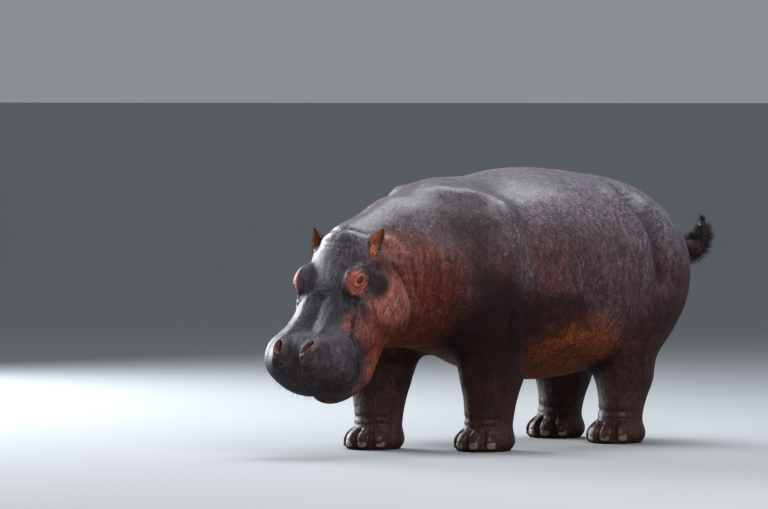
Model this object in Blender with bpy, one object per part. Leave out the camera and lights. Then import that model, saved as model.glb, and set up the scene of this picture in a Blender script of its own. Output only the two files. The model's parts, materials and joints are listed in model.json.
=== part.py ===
"""A life-size hippopotamus that stands with its head lowered, in still solids.

Frame: metres, +X towards the head, +Y to the animal's left, +Z up. The origin is on the
floor, under the middle of the animal's bounding box.

The flesh is one signed-distance field. Ellipsoids and tapered rods, each a named mass of
flesh or bone, are laid on it and softly blended, and hollows are pressed in. Each sub-part
is meshed from that field in its own box, thinned with a Decimate modifier, and parted from
its neighbours by planes and cutters a hair apart. Ears, eyes and nails are made by
themselves and let into the flesh.
"""

import math
from dataclasses import dataclass, replace

import bmesh
import bpy
import numpy as np
import openvdb
from mathutils import Matrix, Vector

# ------------------------------------------------------------------ driving dimensions

GAP = 0.0005  # hair's breadth between two neighbouring solids
FAR = 0.5  # field value far from any flesh
BAND = 4  # steps on either side of the skin where the field is kept

CROWN = (1.320, 0.0, 1.132)  # top of the skull between the ears
HEAD_PITCH = 54.0  # degrees that the face points below the horizontal

EYE_AT = (0.250, 0.203, -0.034)  # left eyeball, in the head's frame
EYE_RADIUS = 0.024

EAR_AT = (0.062, 0.188, -0.052)  # foot of the left ear, in the head's frame
EAR_HEIGHT = 0.145
EAR_HALF_WIDTH = 0.043

FORE_FEET = {"left": 0.50, "right": 0.72}  # x of each forefoot
HIND_FEET = {"left": -0.58, "right": -0.80}  # x of each hind foot
FORE_SPREAD = 0.29  # from the middle plane to the forefeet
HIND_SPREAD = 0.30
ANKLE = 0.16  # height where a foot is parted from its leg

TOE_ANGLES = (-51.0, -17.0, 17.0, 51.0)  # the fan of four toes, in degrees from straight ahead
NAIL_RADII = (0.013, 0.026, 0.023)  # half its thickness, width and height
NAIL_SIDES = 8

NAPE = ((1.15, 0.0, 0.95), (0.96, 0.0, -0.28))  # point and direction of the cut behind the head
SHOULDER = ((0.85, 0.0, 0.95), (0.981, 0.0, 0.192))  # the cut between the neck and the trunk

SIDES = {"left": 1.0, "right": -1.0}

# Base colour (linear), roughness
FINISHES = {
    "back_hide": ((0.085, 0.055, 0.058), 0.45),
    "neck_hide": ((0.130, 0.040, 0.028), 0.45),
    "head_hide": ((0.095, 0.055, 0.055), 0.40),
    "leg_hide": ((0.060, 0.028, 0.022), 0.40),
    "ear_skin": ((0.330, 0.115, 0.065), 0.55),
    "eye": ((0.020, 0.012, 0.008), 0.10),
    "nail": ((0.110, 0.080, 0.060), 0.35),
}


# ------------------------------------------------------------------ shapes of the field


def turned(pitch, yaw, roll):
    """Rotation by a roll about the long axis, then a pitch nose down, then a yaw to the left."""
    return (
        Matrix.Rotation(math.radians(yaw), 3, "Z")
        @ Matrix.Rotation(math.radians(pitch), 3, "Y")
        @ Matrix.Rotation(math.radians(roll), 3, "X")
    )


@dataclass(frozen=True)
class Mass:
    """An ellipsoid: its middle, half-sizes and turn in degrees.

    square is 2 for a true ellipsoid and more for a boxier one. blend is how softly it joins
    what is already there. A hollow is pressed in, not laid on.
    """

    centre: tuple
    radii: tuple
    pitch: float = 0.0
    yaw: float = 0.0
    roll: float = 0.0
    square: float = 2.0
    blend: float = 0.12
    hollow: bool = False

    def mirrored(self):
        """The same mass on the other side of the frame's middle plane."""
        x, y, z = self.centre
        return replace(self, centre=(x, -y, z), yaw=-self.yaw, roll=-self.roll)

    def reach(self, frame):
        """Middle and half-size of a box that holds the mass."""
        return frame @ Vector(self.centre), max(self.radii)

    def distance(self, points, frame):
        """Rough distance from the surface, negative inside."""
        turn = frame.to_3x3() @ turned(self.pitch, self.yaw, self.roll)
        middle = np.array(frame @ Vector(self.centre), np.float32)
        radii = np.array(self.radii, np.float32)
        scaled = np.abs((points - middle) @ np.array(turn, np.float32)) / radii + 1e-6
        share = (scaled**self.square).sum(-1) ** (1 / self.square)
        slope = (scaled / share[..., None]) ** (self.square - 1) / radii
        return (share - 1) / np.sqrt((slope**2).sum(-1))


@dataclass(frozen=True)
class Rod:
    """A tapered rod with round ends. flat widens or squeezes it along the frame's y axis."""

    start: tuple
    end: tuple
    start_radius: float
    end_radius: float
    flat: float = 1.0
    blend: float = 0.12
    hollow: bool = False

    def mirrored(self):
        """The same rod on the other side of the frame's middle plane."""
        start = (self.start[0], -self.start[1], self.start[2])
        end = (self.end[0], -self.end[1], self.end[2])
        return replace(self, start=start, end=end)

    def reach(self, frame):
        """Middle and half-size of a box that holds the rod."""
        start, end = frame @ Vector(self.start), frame @ Vector(self.end)
        thickest = max(self.start_radius, self.end_radius) * max(1.0, self.flat)
        return (start + end) / 2, (end - start).length / 2 + thickest

    def distance(self, points, frame):
        """Rough distance from the surface, negative inside."""
        turn = np.array(frame.to_3x3(), np.float32)
        squeeze = np.array((1.0, 1.0 / self.flat, 1.0), np.float32)
        start = np.array(self.start, np.float32)
        local = (points - np.array(frame.translation, np.float32)) @ turn - start
        along = np.array(self.end, np.float32) - start
        share = np.clip(local @ along / float(along @ along), 0, 1)
        off = (local - share[..., None] * along) * squeeze
        radius = self.start_radius + share * (self.end_radius - self.start_radius)
        return (np.sqrt((off**2).sum(-1)) - radius) * min(1.0, self.flat)


def both(shapes):
    """Each shape and its mirror image."""
    return [side for shape in shapes for side in (shape, shape.mirrored())]


BODY = Matrix.Identity(4)
HEAD = Matrix.Translation(CROWN) @ turned(HEAD_PITCH, 0.0, 0.0).to_4x4()


# ------------------------------------------------------------------ anatomy


def trunk_shapes():
    """Barrel, belly, rump, chest and withers, with the shoulders and haunches beside them."""
    barrel = Mass((-0.12, 0, 0.930), (0.94, 0.62, 0.555))
    belly = Mass((-0.22, 0, 0.80), (0.72, 0.58, 0.42), blend=0.18)
    rump = Mass((-0.65, 0, 0.975), (0.53, 0.545, 0.45), blend=0.18)
    chest = Mass((0.54, 0, 0.97), (0.46, 0.44, 0.43), blend=0.18)
    withers = Mass((0.46, 0, 1.19), (0.36, 0.20, 0.20), pitch=8, blend=0.18)
    shoulder = Mass((0.50, 0.33, 0.94), (0.20, 0.16, 0.36), pitch=-18, blend=0.10)
    haunch = Mass((-0.65, 0.33, 0.88), (0.36, 0.265, 0.40), pitch=-10, blend=0.12)
    return [barrel, belly, rump, chest, withers, *both([shoulder, haunch])]


def neck_shapes():
    """The crest from the withers to the crown, the neck under it and the throat."""
    rear_crest = Rod((0.58, 0, 1.20), (0.92, 0, 1.15), 0.18, 0.175, blend=0.14)
    front_crest = Rod((0.92, 0, 1.15), (1.25, 0, 1.065), 0.175, 0.145, blend=0.10)
    neck = Rod((0.62, 0, 0.96), (1.20, 0, 0.87), 0.40, 0.24, blend=0.16)
    throat = Rod((0.76, 0, 0.82), (1.16, 0, 0.74), 0.27, 0.19, blend=0.14)
    return [rear_crest, front_crest, neck, throat]


def head_shapes():
    """Skull, snout, muzzle and jaw, in the head's frame: x down the face, z off it."""
    cranium = Mass((0.075, 0, -0.135), (0.20, 0.200, 0.150), blend=0.10)
    forehead = Mass((0.20, 0, -0.110), (0.20, 0.185, 0.085), blend=0.08)
    snout = Rod((0.24, 0, -0.185), (0.58, 0, -0.185), 0.160, 0.140, blend=0.10)
    muzzle = Mass((0.668, 0, -0.175), (0.142, 0.255, 0.148), square=2.5, blend=0.10)
    lip = Mass((0.668, 0, -0.260), (0.128, 0.232, 0.085), square=2.5, blend=0.08)
    chin = Mass((0.60, 0, -0.385), (0.175, 0.175, 0.085), blend=0.05)
    gullet = Rod((0.10, 0, -0.25), (0.46, 0, -0.32), 0.19, 0.13, blend=0.10)
    cheekbone = Rod((0.10, 0.165, -0.130), (0.36, 0.120, -0.160), 0.080, 0.080, blend=0.08)
    cheek = Mass((0.235, 0.165, -0.250), (0.200, 0.125, 0.170), square=2.3, blend=0.06)
    jaw = Rod((0.34, 0.135, -0.335), (0.58, 0.120, -0.375), 0.085, 0.080, blend=0.06)
    maxilla = Rod((0.42, 0.060, -0.180), (0.64, 0.155, -0.155), 0.090, 0.118, blend=0.08)
    flews = Rod((0.33, 0.105, -0.180), (0.60, 0.150, -0.175), 0.092, 0.096, blend=0.08)
    mouth_corner = Mass((0.425, 0.160, -0.235), (0.135, 0.078, 0.105), blend=0.06)
    nostril = Mass((0.708, 0.102, -0.050), (0.066, 0.048, 0.042), blend=0.06)
    orbit = Mass((0.236, 0.168, -0.052), (0.082, 0.054, 0.078), blend=0.07)
    groove = Rod((0.70, 0, 0.012), (0.86, 0, -0.12), 0.012, 0.026, blend=0.09, hollow=True)
    temple = Mass((0.150, 0.252, -0.075), (0.050, 0.036, 0.045), blend=0.06, hollow=True)
    paired = [cheekbone, cheek, jaw, maxilla, flews, mouth_corner, nostril, orbit, temple]
    return [cranium, forehead, snout, muzzle, lip, chin, gullet, *both(paired), groove]


def foot_at(kind, side):
    """Middle of one foot on the floor."""
    if kind == "front":
        return FORE_FEET[side], SIDES[side] * FORE_SPREAD
    return HIND_FEET[side], SIDES[side] * HIND_SPREAD


def toe_frames(kind, side):
    """Frame of each toe, with +x pointing out along it."""
    x, y = foot_at(kind, side)
    for angle in TOE_ANGLES:
        turn = math.radians(angle)
        out = (x + 0.02 + 0.122 * math.cos(turn), y + 0.112 * math.sin(turn), 0.045)
        yield Matrix.Translation(out) @ Matrix.Rotation(turn, 4, "Z")


def leg_shapes(kind, side):
    """One leg as a column from the body to the ankle, and its foot with four toes."""
    x, y = foot_at(kind, side)
    if kind == "front":
        upper = Rod((0.54, y, 0.78), (x - 0.02, y, 0.42), 0.205, 0.160, blend=0.14)
        lower = Rod((x - 0.02, y, 0.42), (x, y, 0.12), 0.158, 0.122, blend=0.09)
    else:
        upper = Rod((-0.60, y * 0.95, 0.72), (x - 0.04, y, 0.38), 0.245, 0.150, blend=0.16)
        lower = Rod((x - 0.04, y, 0.38), (x, y, 0.12), 0.142, 0.116, blend=0.09)
    pad = Mass((x + 0.02, y, 0.05), (0.155, 0.145, 0.085), blend=0.08)
    column = [(shape, BODY) for shape in (upper, lower, pad)]
    toe = Mass((0, 0, 0), (0.054, 0.046, 0.055), blend=0.03)
    return column + [(toe, frame) for frame in toe_frames(kind, side)]


def tail_shapes():
    """The short thick tail that hangs back from the rump and curls up at its end."""
    points = (
        (-1.02, 0.0, 1.12),
        (-1.24, 0.02, 1.09),
        (-1.37, 0.06, 1.03),
        (-1.46, 0.12, 1.03),
        (-1.50, 0.15, 1.10),
        (-1.49, 0.15, 1.17),
    )
    radii = (0.105, 0.064, 0.045, 0.038, 0.032, 0.018)
    ends = list(zip(points, radii))
    return [Rod(a, b, ra, rb, blend=0.06) for (a, ra), (b, rb) in zip(ends, ends[1:])]


def all_flesh():
    """Every mass with the frame it stands in."""
    flesh = [(shape, BODY) for shape in trunk_shapes() + neck_shapes()]
    for kind in ("front", "hind"):
        for side in SIDES:
            flesh += leg_shapes(kind, side)
    flesh += [(shape, BODY) for shape in tail_shapes()]
    flesh += [(shape, HEAD) for shape in head_shapes()]
    return flesh


# ------------------------------------------------------------------ field to mesh


def soft_union(a, b, blend):
    """The smaller of two fields, rounded off where they are closer than blend."""
    near = np.maximum(blend - np.abs(a - b), 0) / blend
    return np.minimum(a, b) - near**3 * blend / 6


def field_mesh(name, low, high, step):
    """Mesh of the flesh inside a box, from a grid of points a step apart."""
    axes = [np.arange(a, b + step, step, np.float32) for a, b in zip(low, high)]
    value = np.full([len(axis) for axis in axes], FAR, np.float32)
    for shape, frame in all_flesh():
        centre, half = shape.reach(frame)
        half += shape.blend + BAND * step
        part = tuple(
            slice(*np.searchsorted(axis, (c - half, c + half)).tolist()) for axis, c in zip(axes, centre)
        )
        if any(s.start == s.stop for s in part):
            continue
        near = [axis[s] for axis, s in zip(axes, part)]
        points = np.stack(np.meshgrid(*near, indexing="ij"), axis=-1)
        distance = shape.distance(points, frame)
        if shape.hollow:
            value[part] = -soft_union(-value[part], distance, shape.blend)
        else:
            value[part] = soft_union(value[part], distance, shape.blend)
    grid = openvdb.FloatGrid(background=BAND * step)
    grid.copyFromArray(np.clip(value, -BAND * step, BAND * step))
    grid.transform = openvdb.createLinearTransform(voxelSize=step)
    points, triangles, quads = grid.convertToPolygons(isovalue=0.0, adaptivity=0.0)
    points = points + np.array([axis[0] for axis in axes], np.float32)
    mesh = bpy.data.meshes.new(name)
    mesh.from_pydata(points.tolist(), [], quads[:, ::-1].tolist() + triangles[:, ::-1].tolist())
    return mesh


# ------------------------------------------------------------------ solids


def material(name):
    """A plain skin, horn or eye finish by its name."""
    found = bpy.data.materials.get(name)
    if found:
        return found
    colour, roughness = FINISHES[name]
    made = bpy.data.materials.new(name)
    made.use_nodes = True
    surface = made.node_tree.nodes["Principled BSDF"]
    surface.inputs["Base Color"].default_value = (*colour, 1.0)
    surface.inputs["Roughness"].default_value = roughness
    return made


def add(name, mesh, finish):
    """A named object of the mesh."""
    mesh.name = name
    mesh.materials.clear()
    mesh.materials.append(material(finish))
    obj = bpy.data.objects.new(name, mesh)
    bpy.context.scene.collection.objects.link(obj)
    return obj


def bake(obj):
    """Turns the object's modifiers into plain mesh."""
    seen = obj.evaluated_get(bpy.context.evaluated_depsgraph_get())
    mesh = bpy.data.meshes.new_from_object(seen)
    obj.modifiers.clear()
    obj.data = mesh
    return obj


def thin(obj, triangles):
    """Decimates the object to about this many triangles."""
    obj.data.calc_loop_triangles()
    decimate = obj.modifiers.new("thin", "DECIMATE")
    decimate.ratio = min(1.0, triangles / len(obj.data.loop_triangles))
    return bake(obj)


def carve(obj, cutter, operation="DIFFERENCE"):
    """Cuts the object by another, or keeps only what they share."""
    cut = obj.modifiers.new("cut", "BOOLEAN")
    cut.object = cutter
    cut.operation = operation
    return bake(obj)


def slice_off(obj, point, normal):
    """Cuts away what lies beyond a plane, along its normal, and closes the cut."""
    shape = bmesh.new()
    shape.from_mesh(obj.data)
    everything = [*shape.verts, *shape.edges, *shape.faces]
    bmesh.ops.bisect_plane(
        shape, geom=everything, dist=1e-5, plane_co=point, plane_no=normal, clear_outer=True
    )
    rim = [edge for edge in shape.edges if edge.is_boundary]
    caps = bmesh.ops.holes_fill(shape, edges=rim)["faces"]
    bmesh.ops.triangulate(shape, faces=caps)
    bmesh.ops.recalc_face_normals(shape, faces=shape.faces)
    shape.to_mesh(obj.data)
    shape.free()
    return obj


def keep_largest(obj):
    """Drops the slivers that a cut leaves beside the main body."""
    shape = bmesh.new()
    shape.from_mesh(obj.data)
    unseen = set(shape.verts)
    islands = []
    while unseen:
        front = [unseen.pop()]
        island = set(front)
        while front:
            for edge in front.pop().link_edges:
                for vert in edge.verts:
                    if vert in unseen:
                        unseen.discard(vert)
                        island.add(vert)
                        front.append(vert)
        islands.append(island)
    largest = max(islands, key=len)
    extra = [vert for island in islands if island is not largest for vert in island]
    bmesh.ops.delete(shape, geom=extra, context="VERTS")
    shape.to_mesh(obj.data)
    shape.free()
    return obj


def part_at(obj, plane, beyond):
    """Keeps one side of a parting plane: beyond it, or before it, half a gap away."""
    point, normal = Vector(plane[0]), Vector(plane[1]).normalized()
    away = -normal if beyond else normal
    return slice_off(obj, point - away * GAP / 2, away)


def convex(name, corners):
    """A convex cutter through the corners, kept out of the model."""
    shape = bmesh.new()
    for corner in corners:
        shape.verts.new(corner)
    bmesh.ops.convex_hull(shape, input=shape.verts)
    mesh = bpy.data.meshes.new(name)
    shape.to_mesh(mesh)
    shape.free()
    return guide(name, mesh)


def guide(name, mesh):
    """A cutter, hidden from the model."""
    obj = bpy.data.objects.new(name, mesh)
    bpy.context.scene.collection.objects.link(obj)
    obj.hide_render = True
    obj.display_type = "WIRE"
    return obj


def flesh(name, finish, low, high, step, triangles):
    """One region of the flesh, thinned."""
    return thin(add(name, field_mesh(name, low, high, step), finish), triangles)


# ------------------------------------------------------------------ sub-parts


def limb_cutter(kind, side, slack):
    """The block that parts a leg from the trunk: upright sides, and a top that rises outwards."""
    x = foot_at(kind, side)[0]
    front, rear = (0.22, -0.22) if kind == "front" else (0.26, -0.70)
    low_top, high_top = (0.52, 0.70) if kind == "front" else (0.52, 0.78)
    sign = SIDES[side]
    inner, outer = 0.09 - slack, 0.80
    corners = []
    for along in (x + front + slack, x + rear - slack):
        corners += [
            (along, sign * inner, -0.2),
            (along, sign * outer, -0.2),
            (along, sign * inner, low_top + slack),
            (along, sign * outer, high_top + slack),
        ]
    return convex(f"cutter_{kind}_{side}_{slack}", corners)


def make_trunk():
    """The trunk from the shoulders to the rump, without legs or tail."""
    trunk = flesh("trunk", "back_hide", (-1.30, -0.75, 0.30), (1.10, 0.75, 1.60), 0.014, 1850)
    trunk = part_at(trunk, SHOULDER, beyond=False)
    for kind in ("front", "hind"):
        for side in SIDES:
            trunk = carve(trunk, limb_cutter(kind, side, GAP))
    return carve(trunk, tail_cutter(GAP))


def tail_cutter(slack):
    """The block that parts the tail from the rump."""
    front = -1.19 + slack
    half, low, high = 0.16 + slack, 0.96 - slack, 1.26 + slack
    return convex(
        f"cutter_tail_{slack}",
        [(x, y, z) for x in (front, -1.7) for y in (-half, half + 0.1) for z in (low, high)],
    )


def make_tail():
    """The tail behind the rump."""
    tail = flesh("tail", "leg_hide", (-1.60, -0.20, 0.85), (-1.00, 0.30, 1.30), 0.008, 280)
    return carve(tail, tail_cutter(0.0), "INTERSECT")


def make_neck():
    """The neck between the head and the shoulders."""
    neck = flesh("neck", "neck_hide", (0.60, -0.60, 0.35), (1.55, 0.60, 1.50), 0.014, 1250)
    neck = part_at(neck, SHOULDER, beyond=True)
    return part_at(neck, NAPE, beyond=False)


def make_leg(kind, side):
    """One leg from the trunk to the ankle."""
    x, y = foot_at(kind, side)
    rear = 0.60 if kind == "hind" else 0.35
    low = (x - rear, y - 0.35, 0.08)
    high = (x + 0.40, y + 0.35, 0.90)
    leg = flesh(f"leg_{kind}_{side}", "leg_hide", low, high, 0.012, 400)
    leg = carve(leg, limb_cutter(kind, side, 0.0), "INTERSECT")
    return part_at(leg, ((x, y, ANKLE), (0, 0, 1)), beyond=True)


def make_foot(kind, side):
    """One foot with its four toes, flat under the sole."""
    x, y = foot_at(kind, side)
    low, high = (x - 0.25, y - 0.25, -0.05), (x + 0.27, y + 0.25, ANKLE + 0.05)
    foot = flesh(f"foot_{kind}_{side}", "leg_hide", low, high, 0.007, 225)
    foot = part_at(foot, ((x, y, ANKLE), (0, 0, 1)), beyond=False)
    return slice_off(foot, (x, y, 0.0), (0, 0, -1))


def make_head():
    """The skull, snout, muzzle and cheeks, above the mouth."""
    head = flesh("head", "head_hide", (0.95, -0.42, 0.15), (1.95, 0.42, 1.30), 0.009, 2250)
    head = part_at(head, NAPE, beyond=True)
    return carve(head, mouth_cutter(GAP))


def make_jaw():
    """The lower jaw with the chin, under the mouth."""
    jaw = flesh("jaw", "head_hide", (0.95, -0.42, 0.15), (1.95, 0.42, 1.30), 0.009, 1500)
    return carve(jaw, mouth_cutter(0.0), "INTERSECT")


def mouth_cutter(slack):
    """The block under the line of the mouth, drawn from the side in the head's frame."""
    line = [
        (0.44, -0.110),
        (0.51, -0.120),
        (0.560, -0.155),
        (0.615, -0.210),
        (0.660, -0.280),
        (0.73, -0.335),
        (0.95, -0.335),
    ]
    below = [(0.95, -0.62), (0.38, -0.62), (0.40, -0.30)]
    shape = bmesh.new()
    corners = [shape.verts.new(HEAD @ Vector((x, 0.5, z + slack))) for x, z in line]
    corners += [shape.verts.new(HEAD @ Vector((x - slack, 0.5, z))) for x, z in below]
    face = shape.faces.new(corners)
    pushed = bmesh.ops.extrude_face_region(shape, geom=[face])
    moved = [v for v in pushed["geom"] if isinstance(v, bmesh.types.BMVert)]
    bmesh.ops.translate(shape, verts=moved, vec=(0, -1.0, 0))
    bmesh.ops.recalc_face_normals(shape, faces=shape.faces)
    mesh = bpy.data.meshes.new("cutter_mouth")
    shape.to_mesh(mesh)
    shape.free()
    return guide(f"cutter_mouth_{slack}", mesh)


def ball(radius, frame):
    """Mesh of a sphere in a frame."""
    shape = bmesh.new()
    bmesh.ops.create_uvsphere(shape, u_segments=10, v_segments=6, radius=radius)
    bmesh.ops.transform(shape, matrix=frame, verts=shape.verts)
    mesh = bpy.data.meshes.new("ball")
    shape.to_mesh(mesh)
    shape.free()
    mesh.shade_smooth()
    return mesh


def plate(frame, slack=0.0):
    """Mesh of a nail in a frame, domed towards +x, grown all round by the slack."""
    thick, wide, tall = (size + slack for size in NAIL_RADII)
    shape = bmesh.new()
    for depth, share in ((-thick, 0.85), (thick * 0.25, 1.0)):
        for step in range(NAIL_SIDES):
            turn = 2 * math.pi * step / NAIL_SIDES
            at = (depth, wide * share * math.cos(turn), tall * share * math.sin(turn))
            shape.verts.new(frame @ Vector(at))
    shape.verts.new(frame @ Vector((thick, 0, 0)))
    bmesh.ops.convex_hull(shape, input=shape.verts)
    mesh = bpy.data.meshes.new("plate")
    shape.to_mesh(mesh)
    shape.free()
    return mesh


def make_eye(side, head):
    """One eyeball, let into its orbit."""
    x, y, z = EYE_AT
    frame = HEAD @ Matrix.Translation((x, SIDES[side] * y, z))
    carve(head, guide(f"socket_{side}", ball(EYE_RADIUS + GAP, frame)))
    return add(f"eye_{side}", ball(EYE_RADIUS, frame), "eye")


def make_nails(kind, side, foot):
    """The nail at the tip of each toe, let into the toe."""
    nails = []
    for number, toe in enumerate(toe_frames(kind, side), start=1):
        frame = toe @ Matrix.Translation((0.042, 0, -0.006))
        name = f"nail_{kind}_{side}_{number}"
        carve(foot, guide(f"bed_{name}", plate(frame, GAP)))
        nails.append(add(name, plate(frame), "nail"))
    return nails


def ear_ring(height):
    """Cross-section of the left ear: a crescent, open to the front, on a round stalk."""
    if height < 0:
        width, depth, wall = 0.55, 0.019, 0.5
    else:
        width = math.sin(math.pi * (0.20 + 0.80 * height) ** 0.9) ** 0.8 * (1 - 0.15 * height)
        depth = 0.024 * (1 - 0.75 * height)
        wall = 0.20 * (1 - height) + 0.16
    ring = []
    for step in range(7):
        across = math.cos(math.pi * step / 6)
        bulge = math.sin(math.pi * step / 6)
        ring.append((-depth * bulge, EAR_HALF_WIDTH * width * across))
    for step in range(1, 6):
        across = -math.cos(math.pi * step / 6)
        bulge = math.sin(math.pi * step / 6)
        inner = depth * bulge * (1 - 2 * wall) if height >= 0 else -depth * bulge
        ring.append((-inner, EAR_HALF_WIDTH * width * across * 0.92))
    return ring


def make_ear(side, head):
    """One ear: a small pointed cup that stands up and out, open to the front."""
    sign = SIDES[side]
    foot = HEAD @ Vector((EAR_AT[0], sign * EAR_AT[1], EAR_AT[2]))
    up = Vector((-0.24, sign * 0.37, 0.89)).normalized()
    front = Vector((0.86, sign * 0.42, 0.0))
    front = (front - up * front.dot(up)).normalized()
    frame = Matrix.Translation(foot) @ Matrix((front, up.cross(front), up)).transposed().to_4x4()
    shape = bmesh.new()
    levels = [-0.35, -0.05, 0.12, 0.30, 0.50, 0.70, 0.88]
    rings = []
    for level in levels:
        lean = 0.010 * max(level, 0) ** 2
        points = [(x + lean, sign * y, level * EAR_HEIGHT) for x, y in ear_ring(level)]
        rings.append([shape.verts.new(frame @ Vector(point)) for point in points])
    tip = shape.verts.new(frame @ Vector((0.008, 0, EAR_HEIGHT)))
    for lower, upper in zip(rings, rings[1:]):
        for i, j in zip(range(len(lower)), [*range(1, len(lower)), 0]):
            shape.faces.new((lower[i], lower[j], upper[j], upper[i]))
    for i, j in zip(range(len(rings[-1])), [*range(1, len(rings[-1])), 0]):
        shape.faces.new((rings[-1][i], rings[-1][j], tip))
    shape.faces.new(rings[0])
    bmesh.ops.triangulate(shape, faces=shape.faces)
    bmesh.ops.recalc_face_normals(shape, faces=shape.faces)
    mesh = bpy.data.meshes.new("ear")
    shape.to_mesh(mesh)
    shape.free()
    ear = keep_largest(carve(add(f"ear_{side}", mesh, "ear_skin"), head))
    ear.data.transform(Matrix.Translation(up * GAP * 1.6))
    return ear


def settle(objects):
    """Moves everything so that the origin is under the middle of the bounding box."""
    corners = [obj.matrix_world @ v.co for obj in objects for v in obj.data.vertices]
    xs, ys = [c.x for c in corners], [c.y for c in corners]
    middle = Vector(((min(xs) + max(xs)) / 2, (min(ys) + max(ys)) / 2, 0))
    for obj in objects:
        obj.location = -middle


def main():
    """Makes every sub-part in order, from the trunk out."""
    for obj in list(bpy.data.objects):
        bpy.data.objects.remove(obj)
    solids = [make_trunk(), make_neck(), make_tail()]
    head = make_head()
    solids += [head, make_jaw()]
    for side in SIDES:
        solids.append(make_eye(side, head))
        solids.append(make_ear(side, head))
    for kind in ("front", "hind"):
        for side in SIDES:
            foot = make_foot(kind, side)
            solids += [make_leg(kind, side), foot, *make_nails(kind, side, foot)]
    settle(solids)


main()
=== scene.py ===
"""Looks of a life-size hippopotamus that stands with its head lowered.

Everything is in metres, with +X towards the head, +Y to the animal's left, +Z up and the
floor at 0. The body is given in a frame of its own. Each piece is shifted along the floor
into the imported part's frame, whose origin lies under the middle of the animal.

One skin stands for all the flesh. It is the surface of a field of named masses, meshed at
one step over the body and finer over the head, feet and tail. Lids, lips, folds and ridges
are raised on it, and the ears are sewn on to their stalks. Eyes and nails are pieces of
their own, and bristles grow from the skin.
"""

import sys

import itertools
import json
import logging
import math
from dataclasses import dataclass, field, replace
from enum import Enum
from typing import Any, Iterable, Sequence, Union

import bmesh
import bpy
import numpy as np
import openvdb
from mathutils import Matrix, Vector

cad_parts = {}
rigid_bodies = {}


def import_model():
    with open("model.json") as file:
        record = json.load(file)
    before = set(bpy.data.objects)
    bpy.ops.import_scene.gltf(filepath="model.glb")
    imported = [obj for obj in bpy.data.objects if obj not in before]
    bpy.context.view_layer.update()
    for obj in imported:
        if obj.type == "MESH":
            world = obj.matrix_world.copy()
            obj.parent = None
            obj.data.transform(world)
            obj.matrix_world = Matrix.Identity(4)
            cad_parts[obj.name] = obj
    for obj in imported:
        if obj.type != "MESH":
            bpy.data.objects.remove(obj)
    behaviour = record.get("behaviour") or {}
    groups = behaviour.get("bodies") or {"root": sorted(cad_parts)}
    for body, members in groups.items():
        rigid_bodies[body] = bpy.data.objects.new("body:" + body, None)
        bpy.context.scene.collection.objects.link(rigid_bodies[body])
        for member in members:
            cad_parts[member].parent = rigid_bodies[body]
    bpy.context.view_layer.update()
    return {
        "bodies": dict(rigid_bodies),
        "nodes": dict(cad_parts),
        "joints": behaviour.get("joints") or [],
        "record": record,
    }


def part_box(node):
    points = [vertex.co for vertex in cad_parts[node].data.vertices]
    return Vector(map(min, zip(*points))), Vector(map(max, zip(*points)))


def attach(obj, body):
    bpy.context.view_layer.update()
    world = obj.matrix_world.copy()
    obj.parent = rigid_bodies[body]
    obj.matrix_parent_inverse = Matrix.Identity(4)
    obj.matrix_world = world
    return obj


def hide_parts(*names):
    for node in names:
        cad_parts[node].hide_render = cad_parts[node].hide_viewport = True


LOG = logging.getLogger("hippopotamus")

PATCH = 0.003  # size of one bristle's place on the map
FAR = 0.5  # field value far from any flesh
BAND = 4  # steps on either side of the surface where the field is kept
Point = tuple[float, float, float]
Layers = tuple[tuple[float, float], ...]


class Side(Enum):
    """A side of the animal."""

    LEFT = "left"
    RIGHT = "right"

    @property
    def sign(self) -> float:
        """The sign of y on this side."""
        return 1.0 if self is Side.LEFT else -1.0


class Pair(Enum):
    """A pair of legs."""

    FRONT = "front"
    HIND = "hind"


# -------------------- numbers over space


def smooth_step(low: float, high: float, value: np.ndarray) -> np.ndarray:
    """Eased rise from 0 at low to 1 at high.

    Args:
        low: Value where the rise starts.
        high: Value where it ends.
        value: What is eased.

    Returns:
        The eased share of each value.
    """
    share = np.clip((value - low) / (high - low), 0.0, 1.0)
    return share * share * (3.0 - 2.0 * share)


@dataclass
class Noise:
    """Smooth random values over space, from one seeded lattice."""

    seed: int
    size: int = 32
    lattice: np.ndarray = field(init=False)

    def __post_init__(self) -> None:
        """Draws the lattice."""
        draw = np.random.default_rng(self.seed)
        self.lattice = draw.random((self.size,) * 3, dtype=np.float32) * 2 - 1

    def at(self, points: np.ndarray, scale: Union[float, Point]) -> np.ndarray:
        """Values between -1 and 1.

        Args:
            points: Where, one row each.
            scale: Lattice cells per metre, one for all axes or one each.

        Returns:
            One value for each point.
        """
        place = points * floats(scale) + 1000.0
        cell = np.floor(place).astype(int)
        share = place - cell
        share = share * share * (3 - 2 * share)
        total = np.zeros(len(points), np.float32)
        for corner in itertools.product((0, 1), repeat=3):
            weight = np.prod(np.where(corner, share, 1 - share), axis=1)
            x, y, z = ((cell + corner) % self.size).T
            total += weight * self.lattice[x, y, z]
        return total

    def layered(self, points: np.ndarray, layers: Layers) -> np.ndarray:
        """The sum of several layers, each given by its amount and its scale."""
        return sum(amount * self.at(points, scale) for amount, scale in layers)


def turned(pitch: float, yaw: float, roll: float) -> Matrix:
    """Rotation by a roll about the long axis, then a pitch nose down, then a yaw to the left.

    Args:
        pitch: Degrees nose down.
        yaw: Degrees to the left.
        roll: Degrees about the long axis.

    Returns:
        The rotation.
    """
    return (
        Matrix.Rotation(math.radians(yaw), 3, "Z")
        @ Matrix.Rotation(math.radians(pitch), 3, "Y")
        @ Matrix.Rotation(math.radians(roll), 3, "X")
    )


def floats(values: Any) -> np.ndarray:
    """Places, sizes or turns as an array."""
    return np.array(values, np.float32)


def sided(point: Point, sign: float) -> Point:
    """A place given for the left side, or its mirror image where the sign is negative."""
    return (point[0], sign * point[1], point[2])


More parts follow.
